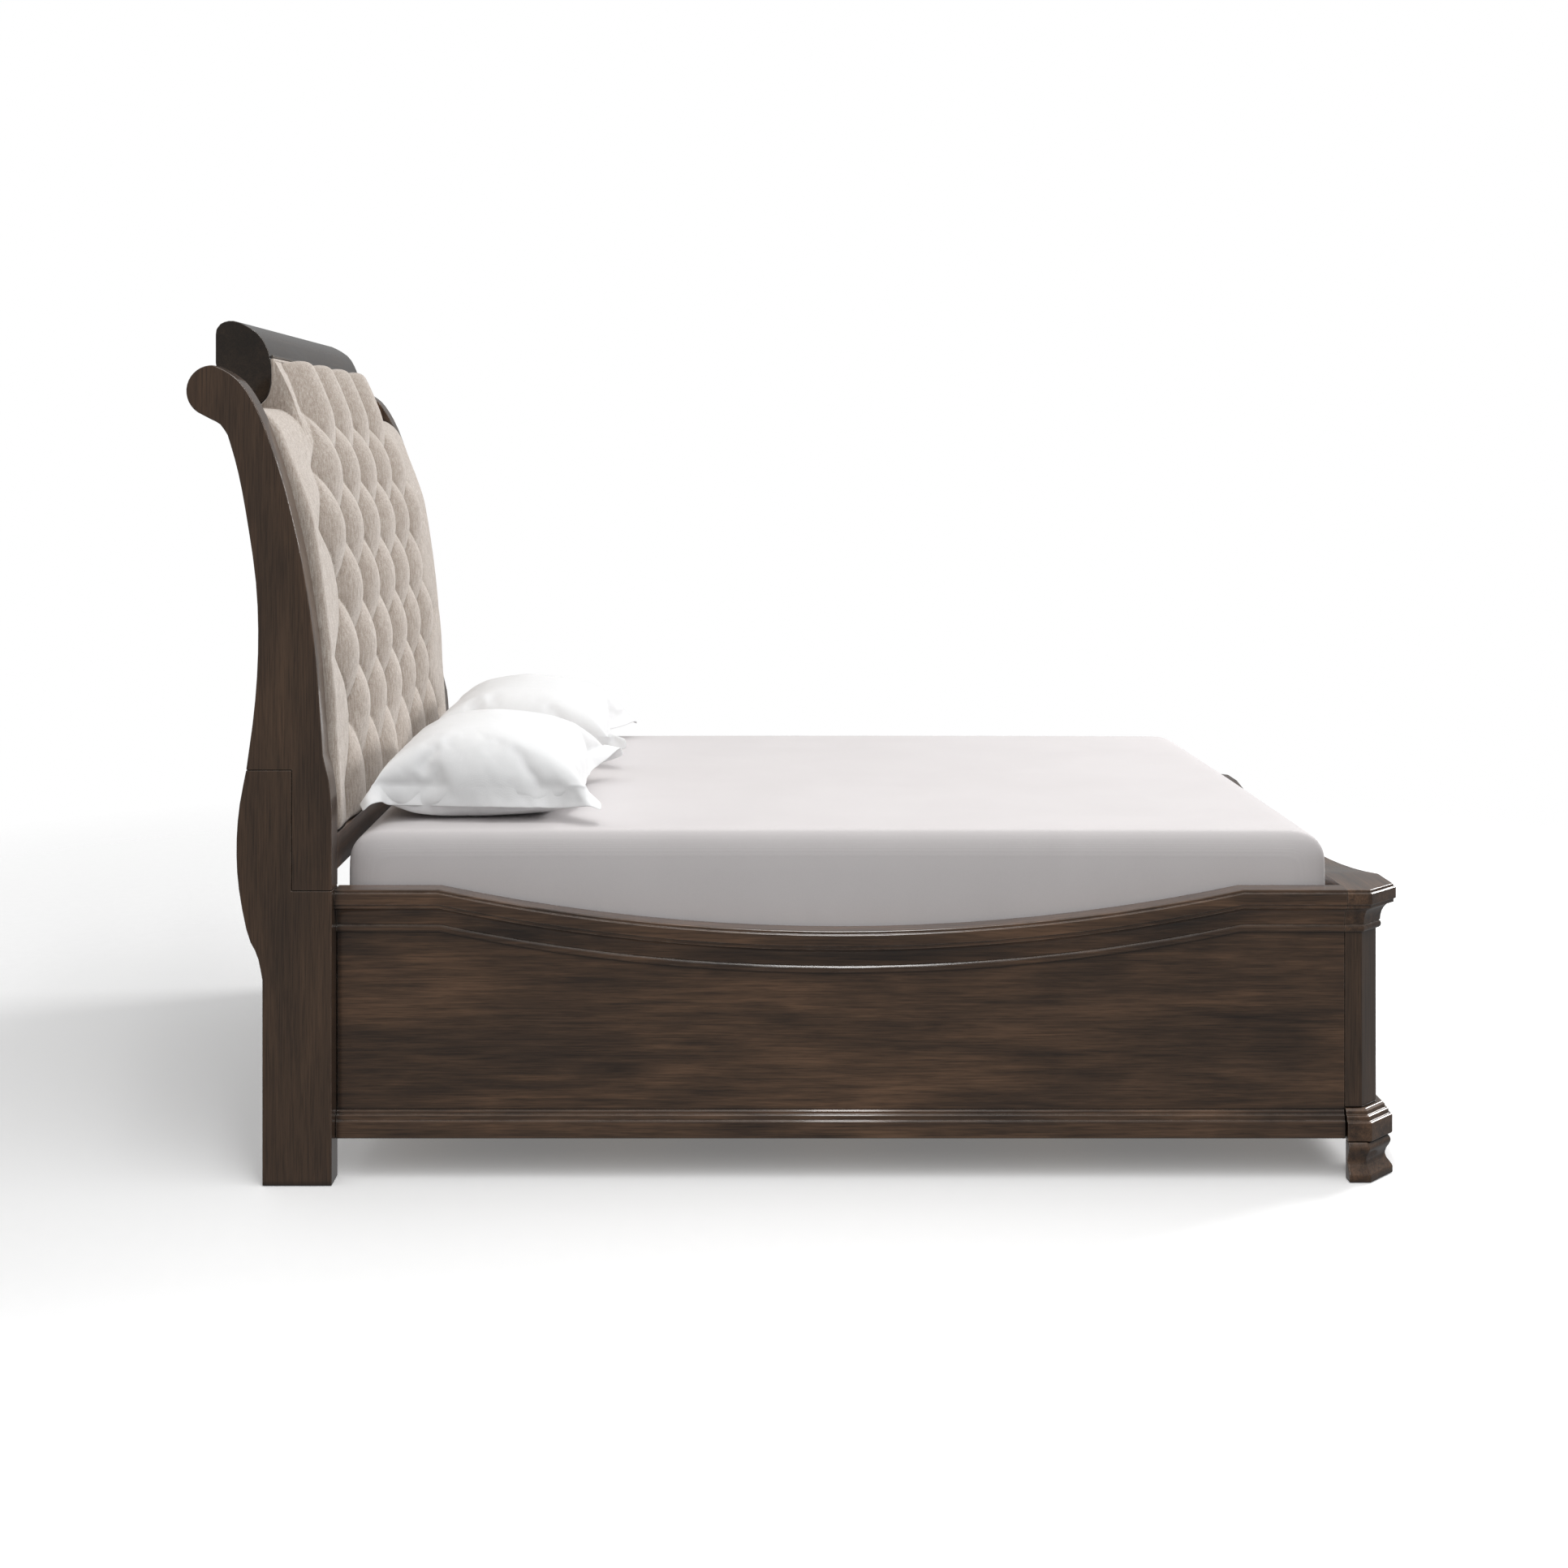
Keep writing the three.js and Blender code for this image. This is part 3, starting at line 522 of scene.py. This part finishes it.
def rounded_copy(node, material, width=0.0016, sharp=24.0):
    """The CAD piece again with its facets joined, its sharp edges rounded and its curves smooth."""
    bm = bmesh.new()
    bm.from_mesh(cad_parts[node].data)
    bmesh.ops.remove_doubles(bm, verts=bm.verts, dist=SEAM_STEP)
    bmesh.ops.dissolve_limit(
        bm, angle_limit=math.radians(0.4), verts=bm.verts, edges=bm.edges, use_dissolve_boundaries=False
    )
    limit = math.radians(sharp)
    edges = [e for e in bm.edges if len(e.link_faces) == 2 and e.calc_face_angle(0.0) > limit]
    bmesh.ops.bevel(
        bm, geom=edges, offset=width, offset_type="OFFSET", segments=3, profile=0.5, affect="EDGES",
        clamp_overlap=True
    )
    piece = piece_from_bmesh(f"{node}_finished", bm, material, "frame")
    weigh = piece.modifiers.new("even_normals", "WEIGHTED_NORMAL")
    weigh.mode = "FACE_AREA"
    weigh.weight = 90
    weigh.keep_sharp = False
    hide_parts(node)
    return piece


UPRIGHT = ["headboard_post", "headboard_leg", "foot_post"]
LENGTHWISE = ["rail_board", "rail_cap", "rail_cove", "rail_base"]
CROSSWISE = [
    "crown_rail", "crown_bead", "headboard_top_rail", "headboard_lower_rail", "headboard_rear_rail",
    "headboard_stretcher", "headboard_back_panel", "footboard_panel", "footboard_cap", "footboard_cove",
    "footboard_base",
]
# Edge roundings that differ from the usual ones.
FINE_EDGES = {
    "crown_bead": 0.0006, "rail_cove": 0.0010, "footboard_cove": 0.0010, "rail_base": 0.0012,
    "rail_cap": 0.0028, "footboard_cap": 0.0028,
}
SIDES = ("left", "right")


def make_wood():
    upright = dark_wood("Z", "upright_wood", (0.80, 0.83, 0.86), 0.4)
    lengthwise = dark_wood("Y", "lengthwise_wood")
    crosswise = dark_wood("X", "crosswise_wood")
    # The crown's darker, cooler tint is a painted dark reflection on its glossy top, on the same wood as the
    # rest.
    crown = dark_wood("X", "crown_wood_painted_reflection", (0.28, 0.32, 0.34), 0.6)
    for side in SIDES:
        for root in UPRIGHT:
            rounded_copy(f"{root}_{side}", upright, 0.0024)
        for root in LENGTHWISE:
            rounded_copy(f"{root}_{side}", lengthwise, FINE_EDGES.get(root, 0.0016))
        rounded_copy(f"ogee_foot_{side}", crosswise, 0.0022)
    for node in CROSSWISE:
        wood = crown if node.startswith("crown") else crosswise
        rounded_copy(node, wood, FINE_EDGES.get(node, 0.0018))


def make_support():
    pine, metal, pads = plain_wood(), steel(), rubber()
    nodes = [f"slat_{i}" for i in range(1, 6)] + [f"support_leg_{i}" for i in range(1, 4)]
    nodes += [f"slat_cleat_{side}" for side in SIDES] + [f"headboard_rib_{i}" for i in range(1, 5)]
    for node in [*nodes, "upholstery_board"]:
        rounded_copy(node, pine, 0.0022)
    for side in SIDES:
        for end in ("head", "foot"):
            rounded_copy(f"bracket_{end}_{side}", metal, 0.0006)
            rounded_copy(f"bolt_{end}_{side}", metal, 0.0005, 40.0)
    for i in range(1, 4):
        rounded_copy(f"support_pad_{i}", pads, 0.0008, 40.0)


# ------------------------------------------------------------------ tufted headboard pad
# The line that the folds lie on, up the front of the pad: shared, then to the crown in the
# middle, and over the top rail at each shoulder.
PAD_LINE = [
    (0.314, 0.7145), (0.312, 0.745), (0.309, 0.802), (0.301, 0.870), (0.292, 0.938), (0.282, 1.074),
    (0.270, 1.209), (0.251, 1.345), (0.233, 1.430), (0.209, 1.520), (0.198, 1.552),
]
CROWN_LINE = [PAD_LINE[-2], PAD_LINE[-1], (0.176, 1.610), (0.153, 1.665), (0.128, 1.7125)]
SHOULDER_LINE = [PAD_LINE[-2], PAD_LINE[-1], (0.176, 1.583), (0.146, 1.601), (0.105, 1.6035), (0.064, 1.5975)]
CROWN_END_LINE = [(0.128, 1.7125), (0.1275, 1.690), (0.1265, 1.657), (0.119, 1.629), (0.104, 1.6115)]
# A tuft's width and height, the height of the lowest row of tuft corners, how far a tuft puffs out, and
# how far its corners sink behind the fold line.
COLUMN = 0.217
ROW_PAIR = 0.272
FIRST_ROW_Z = 0.802
PUFF = 0.050
SINK = 0.012
PAD_STEP = 0.0046
PAD_BACK = 0.017
TOP_ROUND, SIDE_ROUND, SIDE_DROP = 0.030, 0.026, 0.014
# Distances from the middle: where the pad turns down at the crown's end, and where the shoulder starts.
END_FROM, END_TO, SHOULDER_TO = 0.5206, 0.5360, 0.5560


def pad_lines():
    """The fold line at the crown and at the shoulder, with the same number of steps in each part."""
    shared = smooth_curve(PAD_LINE, 900)
    low = even_steps(shared, round(arc_length(shared) / PAD_STEP))
    crown = upper_part(CROWN_LINE)
    shoulder = upper_part(SHOULDER_LINE)
    count = round(max(arc_length(crown), arc_length(shoulder)) / PAD_STEP)
    return low, even_steps(crown, count)[1:], even_steps(shoulder, count)[1:]


def upper_part(points):
    line = smooth_curve(points, 900)
    start = int(np.argmin(np.linalg.norm(line - np.array(points[1]), axis=1)))
    return line[start:]


def arc_length(line):
    return float(np.linalg.norm(np.diff(line, axis=0), axis=1).sum())


def soft_step(value, low, high):
    t = np.clip((value - low) / (high - low), 0, 1)
    return t * t * (3 - 2 * t)


def puff_height(x, v, level):
    """Share of the full puff at x across the pad and v up it in row pairs. level is the smooth margin's."""
    u = np.abs(x) / COLUMN
    near_v = np.clip(v, 0.0, 3.0)
    away = np.maximum(v - 3.0, 0) + np.maximum(-v, 0)
    edge = np.where(near_v <= 2, 3 - np.abs(near_v - np.round(near_v)), 3 - (near_v - 2))
    inside_u = np.minimum(u, edge)
    p = np.abs(inside_u + near_v - np.round(inside_u + near_v))
    q = np.abs(inside_u - near_v - np.round(inside_u - near_v))
    sp, sq = np.sin(math.pi * p), np.sin(math.pi * q)
    crease = (sp * sq) ** 0.5
    dome = np.sqrt((sp**2 + sq**2) / 2)
    tuft = 0.45 * crease + 0.55 * dome
    fade = 1 - 0.18 * np.clip(away / 0.5, 0, 1)
    tuft = 1 - (1 - tuft) * fade
    beyond = (u - edge) * COLUMN
    rise = 1 - np.exp(-np.maximum(beyond, 0) / 0.030)
    margin = tuft + (level - tuft) * rise
    return np.where(beyond > 0, margin, tuft)


def make_pad(material):
    low, crown, shoulder = pad_lines()
    corner = np.linspace(END_FROM, END_TO, 9)
    even = np.linspace(-PAD_HALF, PAD_HALF, round(2 * PAD_HALF / PAD_STEP))
    xs = np.unique(np.concatenate([even, corner, -corner, [-SHOULDER_TO, SHOULDER_TO]]))
    turned = np.clip((np.abs(xs) - END_FROM) / (END_TO - END_FROM), 0, 1)
    share = soft_step(np.abs(xs), END_TO, SHOULDER_TO)[:, None]
    upper = round_the_end(crown, shoulder, turned)
    upper = upper * (1 - share[..., None]) + shoulder[None] * share[..., None]
    line = np.concatenate([np.repeat(low[None], len(xs), 0), upper], axis=1)
    steps = np.linalg.norm(np.diff(line, axis=1), axis=2)
    reach = np.concatenate([np.zeros((len(xs), 1)), np.cumsum(steps, axis=1)], axis=1)
    tangent = np.gradient(line, axis=1)
    tangent /= np.linalg.norm(tangent, axis=2)[..., None]
    normal = np.stack([tangent[..., 1], -tangent[..., 0]], axis=2)

    x = np.repeat(xs[:, None], line.shape[1], 1)
    first = float(np.interp(FIRST_ROW_Z, low[:, 1], np.linspace(0, arc_length(low), len(low))))
    v = (reach - first) / ROW_PAIR
    lift = pad_lift(x, v, line[..., 1], reach, len(low), share)
    front = pad_points(x, line + normal * lift[..., None])
    thin = np.clip((reach[:, -1:] - reach) / 0.12, 0.10, 1)
    walls = (turned[:, None] > 0) & (share < 1) & (v > 2.9)
    back = pad_points(x, line - normal * np.where(walls, 0.0015, PAD_BACK * thin)[..., None])
    return stitch_pad(material, xs, front, back)


def pad_points(x, line):
    """3-D points from places across the pad and their (run, z)."""
    return np.stack([x, to_y(line[..., 0]), line[..., 1]], axis=2)


def pad_lift(x, v, height, reach, shared, share):
    """How far the cloth stands off its fold line. shared is the count of steps below the crown."""
    level = 0.79 - 0.17 * soft_step(height, 0.80, 1.34) - 0.36 * soft_step(height, 1.34, 1.56)
    ends = np.minimum(reach, reach[:, -1:] - reach)
    cap = 1 - np.clip(1 - ends / TOP_ROUND, 0, 1) ** 2
    side = 1 - np.clip(1 - (PAD_HALF - np.abs(x)) / SIDE_ROUND, 0, 1) ** 2
    rim = np.sqrt(np.clip(cap * side, 0, 1))
    shoulder_thin = 1 - 0.30 * share * soft_step(reach, reach[:, shared - 1:shared], reach[:, -1:])
    puff = PUFF * puff_height(x, v, level) * shoulder_thin * low_room(height)
    pleats = gathers(x, reach - reach[:, shared:shared + 1])
    return (puff + pleats - SINK) * rim - SIDE_DROP * (1 - np.sqrt(np.clip(side, 0, 1)))


def low_room(height):
    """Share of the puff that there is room for: less at the bottom, beside the mattress."""
    return 0.70 + 0.30 * soft_step(height, 0.80, 1.02)


def gathers(x, rise):
    """Fine pleats that fan out from the corner where the crown ends."""
    across = np.abs(x) - END_FROM
    up = rise - 0.05
    far = np.hypot(across, up)
    turn = np.arctan2(up, across)
    return 0.0022 * np.sin(17 * turn) * np.exp(-far / 0.045) * np.clip(far / 0.03, 0, 1)


def round_the_end(crown, shoulder, turned):
    """Fold lines past the crown's end: their tops follow the crown's front edge down to the shoulder."""
    reach = shoulder[:, 0] > CROWN_END_LINE[-1][0]
    base = even_steps(np.vstack([shoulder[reach], CROWN_END_LINE[-1:]]), len(crown))
    edge = smooth_curve(CROWN_END_LINE, 200)
    top = np.stack([np.interp(turned, np.linspace(0, 1, len(edge)), edge[:, k]) for k in (0, 1)], axis=1)
    part = turned[:, None, None]
    lines = crown[None] * (1 - part) + base[None] * part
    pull = np.linspace(0, 1, len(crown))[None, :, None] ** 2
    return lines + (top - lines[:, -1])[:, None, :] * pull


def stitch_pad(material, xs, front, back):
    """Joins the tufted face to a plain back sheet of a few columns, as one closed body."""
    across, rows = front.shape[0], front.shape[1]
    bends = np.abs(xs) - (END_FROM + SHOULDER_TO) / 2
    corner = np.flatnonzero(np.abs(bends) <= (SHOULDER_TO - END_FROM) / 2 + 1e-6)
    marks = [0, *(int(i) for i in corner), across - 1]
    points = [tuple(p) for p in front.reshape(-1, 3)]
    base = len(points)
    for mark in marks:
        points.extend(tuple(p) for p in back[mark])
    faces = []
    for i in range(across - 1):
        for j in range(rows - 1):
            a = i * rows + j
            faces.append((a, a + rows, a + rows + 1, a + 1))
    for m in range(len(marks) - 1):
        for j in range(rows - 1):
            a = base + m * rows + j
            faces.append((a, a + 1, a + rows + 1, a + rows))
    for end, mark in ((0, 0), (len(marks) - 1, across - 1)):
        for j in range(rows - 1):
            a, b = mark * rows + j, base + end * rows + j
            faces.append((a, a + 1, b + 1, b))
    for row in (0, rows - 1):
        for m in range(len(marks) - 1):
            edge = [i * rows + row for i in range(marks[m], marks[m + 1] + 1)]
            faces.append((*edge, base + (m + 1) * rows + row, base + m * rows + row))
    piece = new_piece("tufted_pad", points, faces, material, "frame")
    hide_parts("headboard_pad")
    return piece


def make_welt(material):
    """Covered cord along the pad's top edge, turned down round each end of the crown."""
    half = CROWN_HALF + 0.0035
    down = smooth_curve([(0.1255, 1.7115), *CROWN_END_LINE[1:]], 26)
    left = [(-half, to_y(run), z) for run, z in down[::-1]]
    middle = [(x, to_y(0.1275), 1.7118) for x in np.linspace(-half + 0.006, half - 0.006, 90)]
    right = [(half, to_y(run), z) for run, z in down]
    welt = tube("headboard_welt", [*left, *middle, *right], 0.0036, material, "frame", sides=10)


# ------------------------------------------------------------------ mattress, sheet and box spring
SHEET_THICK = 0.0012
TUCK = 0.075


def mattress_shape(grow):
    """A rounded block with a barely crowned top. grow moves its faces out."""
    low = [MATTRESS_LOW.x - grow, MATTRESS_LOW.y - grow, MATTRESS_LOW.z - (grow if grow < 0 else 0)]
    high = [MATTRESS_HIGH.x + grow, MATTRESS_HIGH.y + grow, MATTRESS_HIGH.z + grow]
    bm = soft_block(low, high, (0.024, 0.072, 0.062), 0.045)
    for v in bm.verts:
        across = v.co.x / MATTRESS_HIGH.x
        lengthwise = (v.co.y - MATTRESS_MIDDLE.y) / MATTRESS_LONG * 2
        if v.co.z > MATTRESS_MIDDLE.z:
            v.co.z -= 0.004 * (across**2 + lengthwise**2) / 2
    return bm


def make_mattress(ticking):
    piece = piece_from_bmesh("mattress_core", mattress_shape(-0.004), ticking, "mattress")
    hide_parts("mattress")


def make_fitted_sheet(material):
    bm = mattress_shape(-0.0016)
    floor = MATTRESS_LOW.z + 0.004
    gone = []
    for face in bm.faces:
        middle = face.calc_center_median()
        inside = abs(middle.x) < MATTRESS_HIGH.x - TUCK
        inside = inside and MATTRESS_LOW.y + TUCK < middle.y < MATTRESS_HIGH.y - TUCK
        if inside and middle.z < floor:
            gone.append(face)
    bmesh.ops.delete(bm, geom=gone, context="FACES")
    piece = piece_from_bmesh("fitted_sheet", bm, material, "mattress")
    detail = piece.modifiers.new("detail", "SUBSURF")
    detail.levels = detail.render_levels = 1
    apply_modifiers(piece)
    pucker(piece.data)
    body = piece.modifiers.new("thickness", "SOLIDIFY")
    body.thickness = SHEET_THICK
    body.offset = 1.0
    apply_modifiers(piece)


def pucker(mesh):
    """Small gathers low on the sheet, strongest at the corners, where the elastic draws it in."""
    place = vertex_values(mesh, "co")
    x, y = place[:, 0], place[:, 1]
    low = 1 - np.clip((place[:, 2] - MATTRESS_LOW.z) / (0.55 * MATTRESS_DEEP), 0, 1)
    out = np.abs(x) / MATTRESS_HIGH.x + np.abs(y - MATTRESS_MIDDLE.y) / (MATTRESS_LONG / 2)
    corner = np.clip(out - 1, 0, 1)
    wave = np.sin(x * 92 + 1.7 * np.sin(y * 31)) * np.sin(y * 83 + 2.1 * np.sin(x * 23))
    place += vertex_values(mesh, "normal") * (0.0022 * low * (0.15 + 0.85 * corner**6) * wave)[:, None]
    mesh.vertices.foreach_set("co", place.ravel())
    mesh.update()


def vertex_values(mesh, kind):
    values = np.empty(len(mesh.vertices) * 3)
    mesh.vertices.foreach_get(kind, values)
    return values.reshape(-1, 3)


def perimeter(low, high, corner, z, count=12):
    """A rounded rectangle at one height, as a closed path."""
    left, right = low.x + corner, high.x - corner
    front, rear = low.y + corner, high.y - corner
    points = []
    for x, y, start in ((right, rear, 0), (left, rear, 90), (left, front, 180), (right, front, 270)):
        for i in range(count + 1):
            turn = math.radians(start + 90 * i / count)
            points.append((x + corner * math.cos(turn), y + corner * math.sin(turn), z))
    return points


def make_box_spring(ticking, dark):
    inset = 0.004
    low = [BOX_LOW.x + inset, BOX_LOW.y + inset, BOX_LOW.z + 0.001]
    high = [BOX_HIGH.x - inset, BOX_HIGH.y - inset, BOX_HIGH.z - 0.001]
    block = soft_block(low, high, (0.030, 0.030, 0.012), 0.12)
    piece = piece_from_bmesh("box_spring_cover", block, ticking, "box_spring")
    piece.data.materials.append(dark)
    for face in piece.data.polygons:
        if face.center.z < BOX_LOW.z + 0.0015 and face.normal.z < -0.9:
            face.material_index = 1
    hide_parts("box_spring")
    edge = Vector((0.003, 0.003, 0))
    for name, z in (("box_spring_welt_low", BOX_LOW.z + 0.014), ("box_spring_welt_high", BOX_HIGH.z - 0.014)):
        path = perimeter(BOX_LOW + edge, BOX_HIGH - edge, 0.030, z)
        welt = tube(name, path, 0.0026, ticking, "box_spring", sides=8, closed=True)


# ------------------------------------------------------------------ pillows
# The filled part and the flat flange round it, the mesh's cell, the pillow's middle before it
# settles, and the run of the padded wall that it leans on.
PILLOW_BODY = (0.640, 0.495)
FLANGE = 0.042
PILLOW_CELL = 0.0115
PILLOW_RUN = 0.590
PILLOW_X = 0.386
PILLOW_WALL = 0.3365


def pillow_sheets():
    """Two sheets joined along a seam, with a flat flange outside it: points, quads and the filled part."""
    across = round(PILLOW_BODY[0] / PILLOW_CELL)
    deep = round(PILLOW_BODY[1] / PILLOW_CELL)
    rim = max(2, round(FLANGE / PILLOW_CELL))
    cell = PILLOW_BODY[0] / across
    points, index = [], {}

    def corner(layer, i, j):
        on_seam = i in (0, across) or j in (0, deep)
        outside = not (0 <= i <= across and 0 <= j <= deep)
        key = ("seam" if on_seam or outside else layer, i, j)
        if key not in index:
            x, y = (i - across / 2) * cell, (j - deep / 2) * cell
            if key[0] == "seam":
                z = 0.0
            else:
                fill = min(i, across - i) * min(j, deep - j) / (across * deep / 4)
                z = (0.075 if layer == "top" else -0.045) * fill**0.45
            index[key] = len(points)
            points.append((x, y, z))
        return index[key]

    faces, puffed = [], []
    for i in range(-rim, across + rim):
        for j in range(-rim, deep + rim):
            ring = [(i, j), (i + 1, j), (i + 1, j + 1), (i, j + 1)]
            if 0 <= i < across and 0 <= j < deep:
                faces.append([corner("top", *c) for c in ring])
                faces.append([corner("under", *c) for c in ring[::-1]])
            else:
                faces.append([corner("rim", *c) for c in ring])
    for (_, i, j), where in index.items():
        if 0 <= i <= across and 0 <= j <= deep:
            puffed.append(where)
    return points, faces, puffed


def make_pillow_mesh(material):
    """The left pillow, blown up and settled on the mattress by a cloth simulation."""
    points, faces, puffed = pillow_sheets()
    mesh = bpy.data.meshes.new("pillow_left_case")
    top = MATTRESS_HIGH.z
    middle = Vector((-PILLOW_X, to_y(PILLOW_RUN), top + 0.062))
    mesh.from_pydata([tuple(Vector(p) + middle) for p in points], [], faces)
    piece = bpy.data.objects.new("pillow_left_case", mesh)
    bpy.context.collection.objects.link(piece)
    mesh.materials.append(material)
    group = piece.vertex_groups.new(name="puffed")
    group.add(puffed, 1.0, "REPLACE")
    settle(piece)
    return piece


def settle(piece, frames=36):
    """Runs the cloth over the mattress and against the foot of the headboard pad."""
    cloth_material = piece.data.materials[0]
    bed = piece_from_bmesh("settling_bed", mattress_shape(0.0015), cloth_material, None)
    low = (-MATTRESS_HIGH.x, to_y(PILLOW_WALL), MATTRESS_LOW.z)
    high = (MATTRESS_HIGH.x, to_y(PILLOW_WALL) + 0.2, MATTRESS_HIGH.z + 0.5)
    block = soft_block(low, high, (0.01, 0.01, 0.01), 0.1)
    wall = piece_from_bmesh("settling_wall", block, cloth_material, None)
    for solid in (bed, wall):
        solid.modifiers.new("collision", "COLLISION")
        solid.collision.thickness_outer = 0.002
        solid.collision.cloth_friction = 12
    cloth = piece.modifiers.new("cloth", "CLOTH")
    now = cloth.settings
    now.quality = 5
    now.mass = 0.006
    now.tension_stiffness = now.compression_stiffness = 20
    now.shear_stiffness = 8
    now.bending_stiffness = 0.3
    now.use_pressure = True
    now.uniform_pressure_force = 2.85
    now.vertex_group_pressure = "puffed"
    cloth.collision_settings.distance_min = 0.002
    cloth.collision_settings.collision_quality = 3
    cloth.point_cache.frame_start, cloth.point_cache.frame_end = 1, frames
    scene = bpy.context.scene
    for number in range(1, frames + 1):
        scene.frame_set(number)
    apply_modifiers(piece)
    scene.frame_set(1)
    for solid in (bed, wall):
        bpy.data.objects.remove(solid)


def finish_pillow(piece, name, side, mirrored):
    mesh = piece.data
    if mirrored:
        for v in mesh.vertices:
            v.co.x = -v.co.x
        mesh.flip_normals()
    mesh.polygons.foreach_set("use_smooth", [True] * len(mesh.polygons))
    case = piece.modifiers.new("thickness", "SOLIDIFY")
    case.thickness = 0.0018
    case.offset = 0.0
    fine = piece.modifiers.new("detail", "SUBSURF")
    fine.levels = fine.render_levels = 1
    apply_modifiers(piece)
    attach(piece, f"pillow_{side}")
    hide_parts(f"pillow_{side}")
    piece.name = name


def make_pillows(material):
    left = make_pillow_mesh(material)
    right = left.copy()
    right.data = left.data.copy()
    bpy.context.collection.objects.link(right)
    finish_pillow(left, "pillow_left_case", "left", False)
    finish_pillow(right, "pillow_right_case", "right", True)


# ------------------------------------------------------------------ floor, sizes and the whole scene
def make_floor():
    radius, sides = 11.0, 64
    points = [(0, 0, 0)]
    for i in range(sides):
        turn = 2 * math.pi * i / sides
        points.append((radius * math.cos(turn), radius * math.sin(turn), 0))
    faces = [(0, i + 1, (i + 1) % sides + 1) for i in range(sides)]
    floor = new_piece("floor", points, faces, floor_paint(2.0, 4.6), None)
    floor.location.z = -0.0008
    floor.visible_glossy = False
    floor.visible_diffuse = False


make_camera()
make_world()
make_lights()
make_floor()
make_wood()
make_support()
LINEN = linen()
make_pad(LINEN)
make_welt(LINEN)
TICKING = cotton("ticking", (0.62, 0.60, 0.56), (0.70, 0.68, 0.64), 0.05, "Z", 0.0014)
make_mattress(TICKING)
make_box_spring(TICKING, dust_cover())
make_fitted_sheet(cotton("sheet", (0.655, 0.625, 0.625), (0.68, 0.65, 0.65), 0.04))
make_pillows(cotton("pillowcase", (0.81, 0.815, 0.82), (0.85, 0.855, 0.86), 0.26))
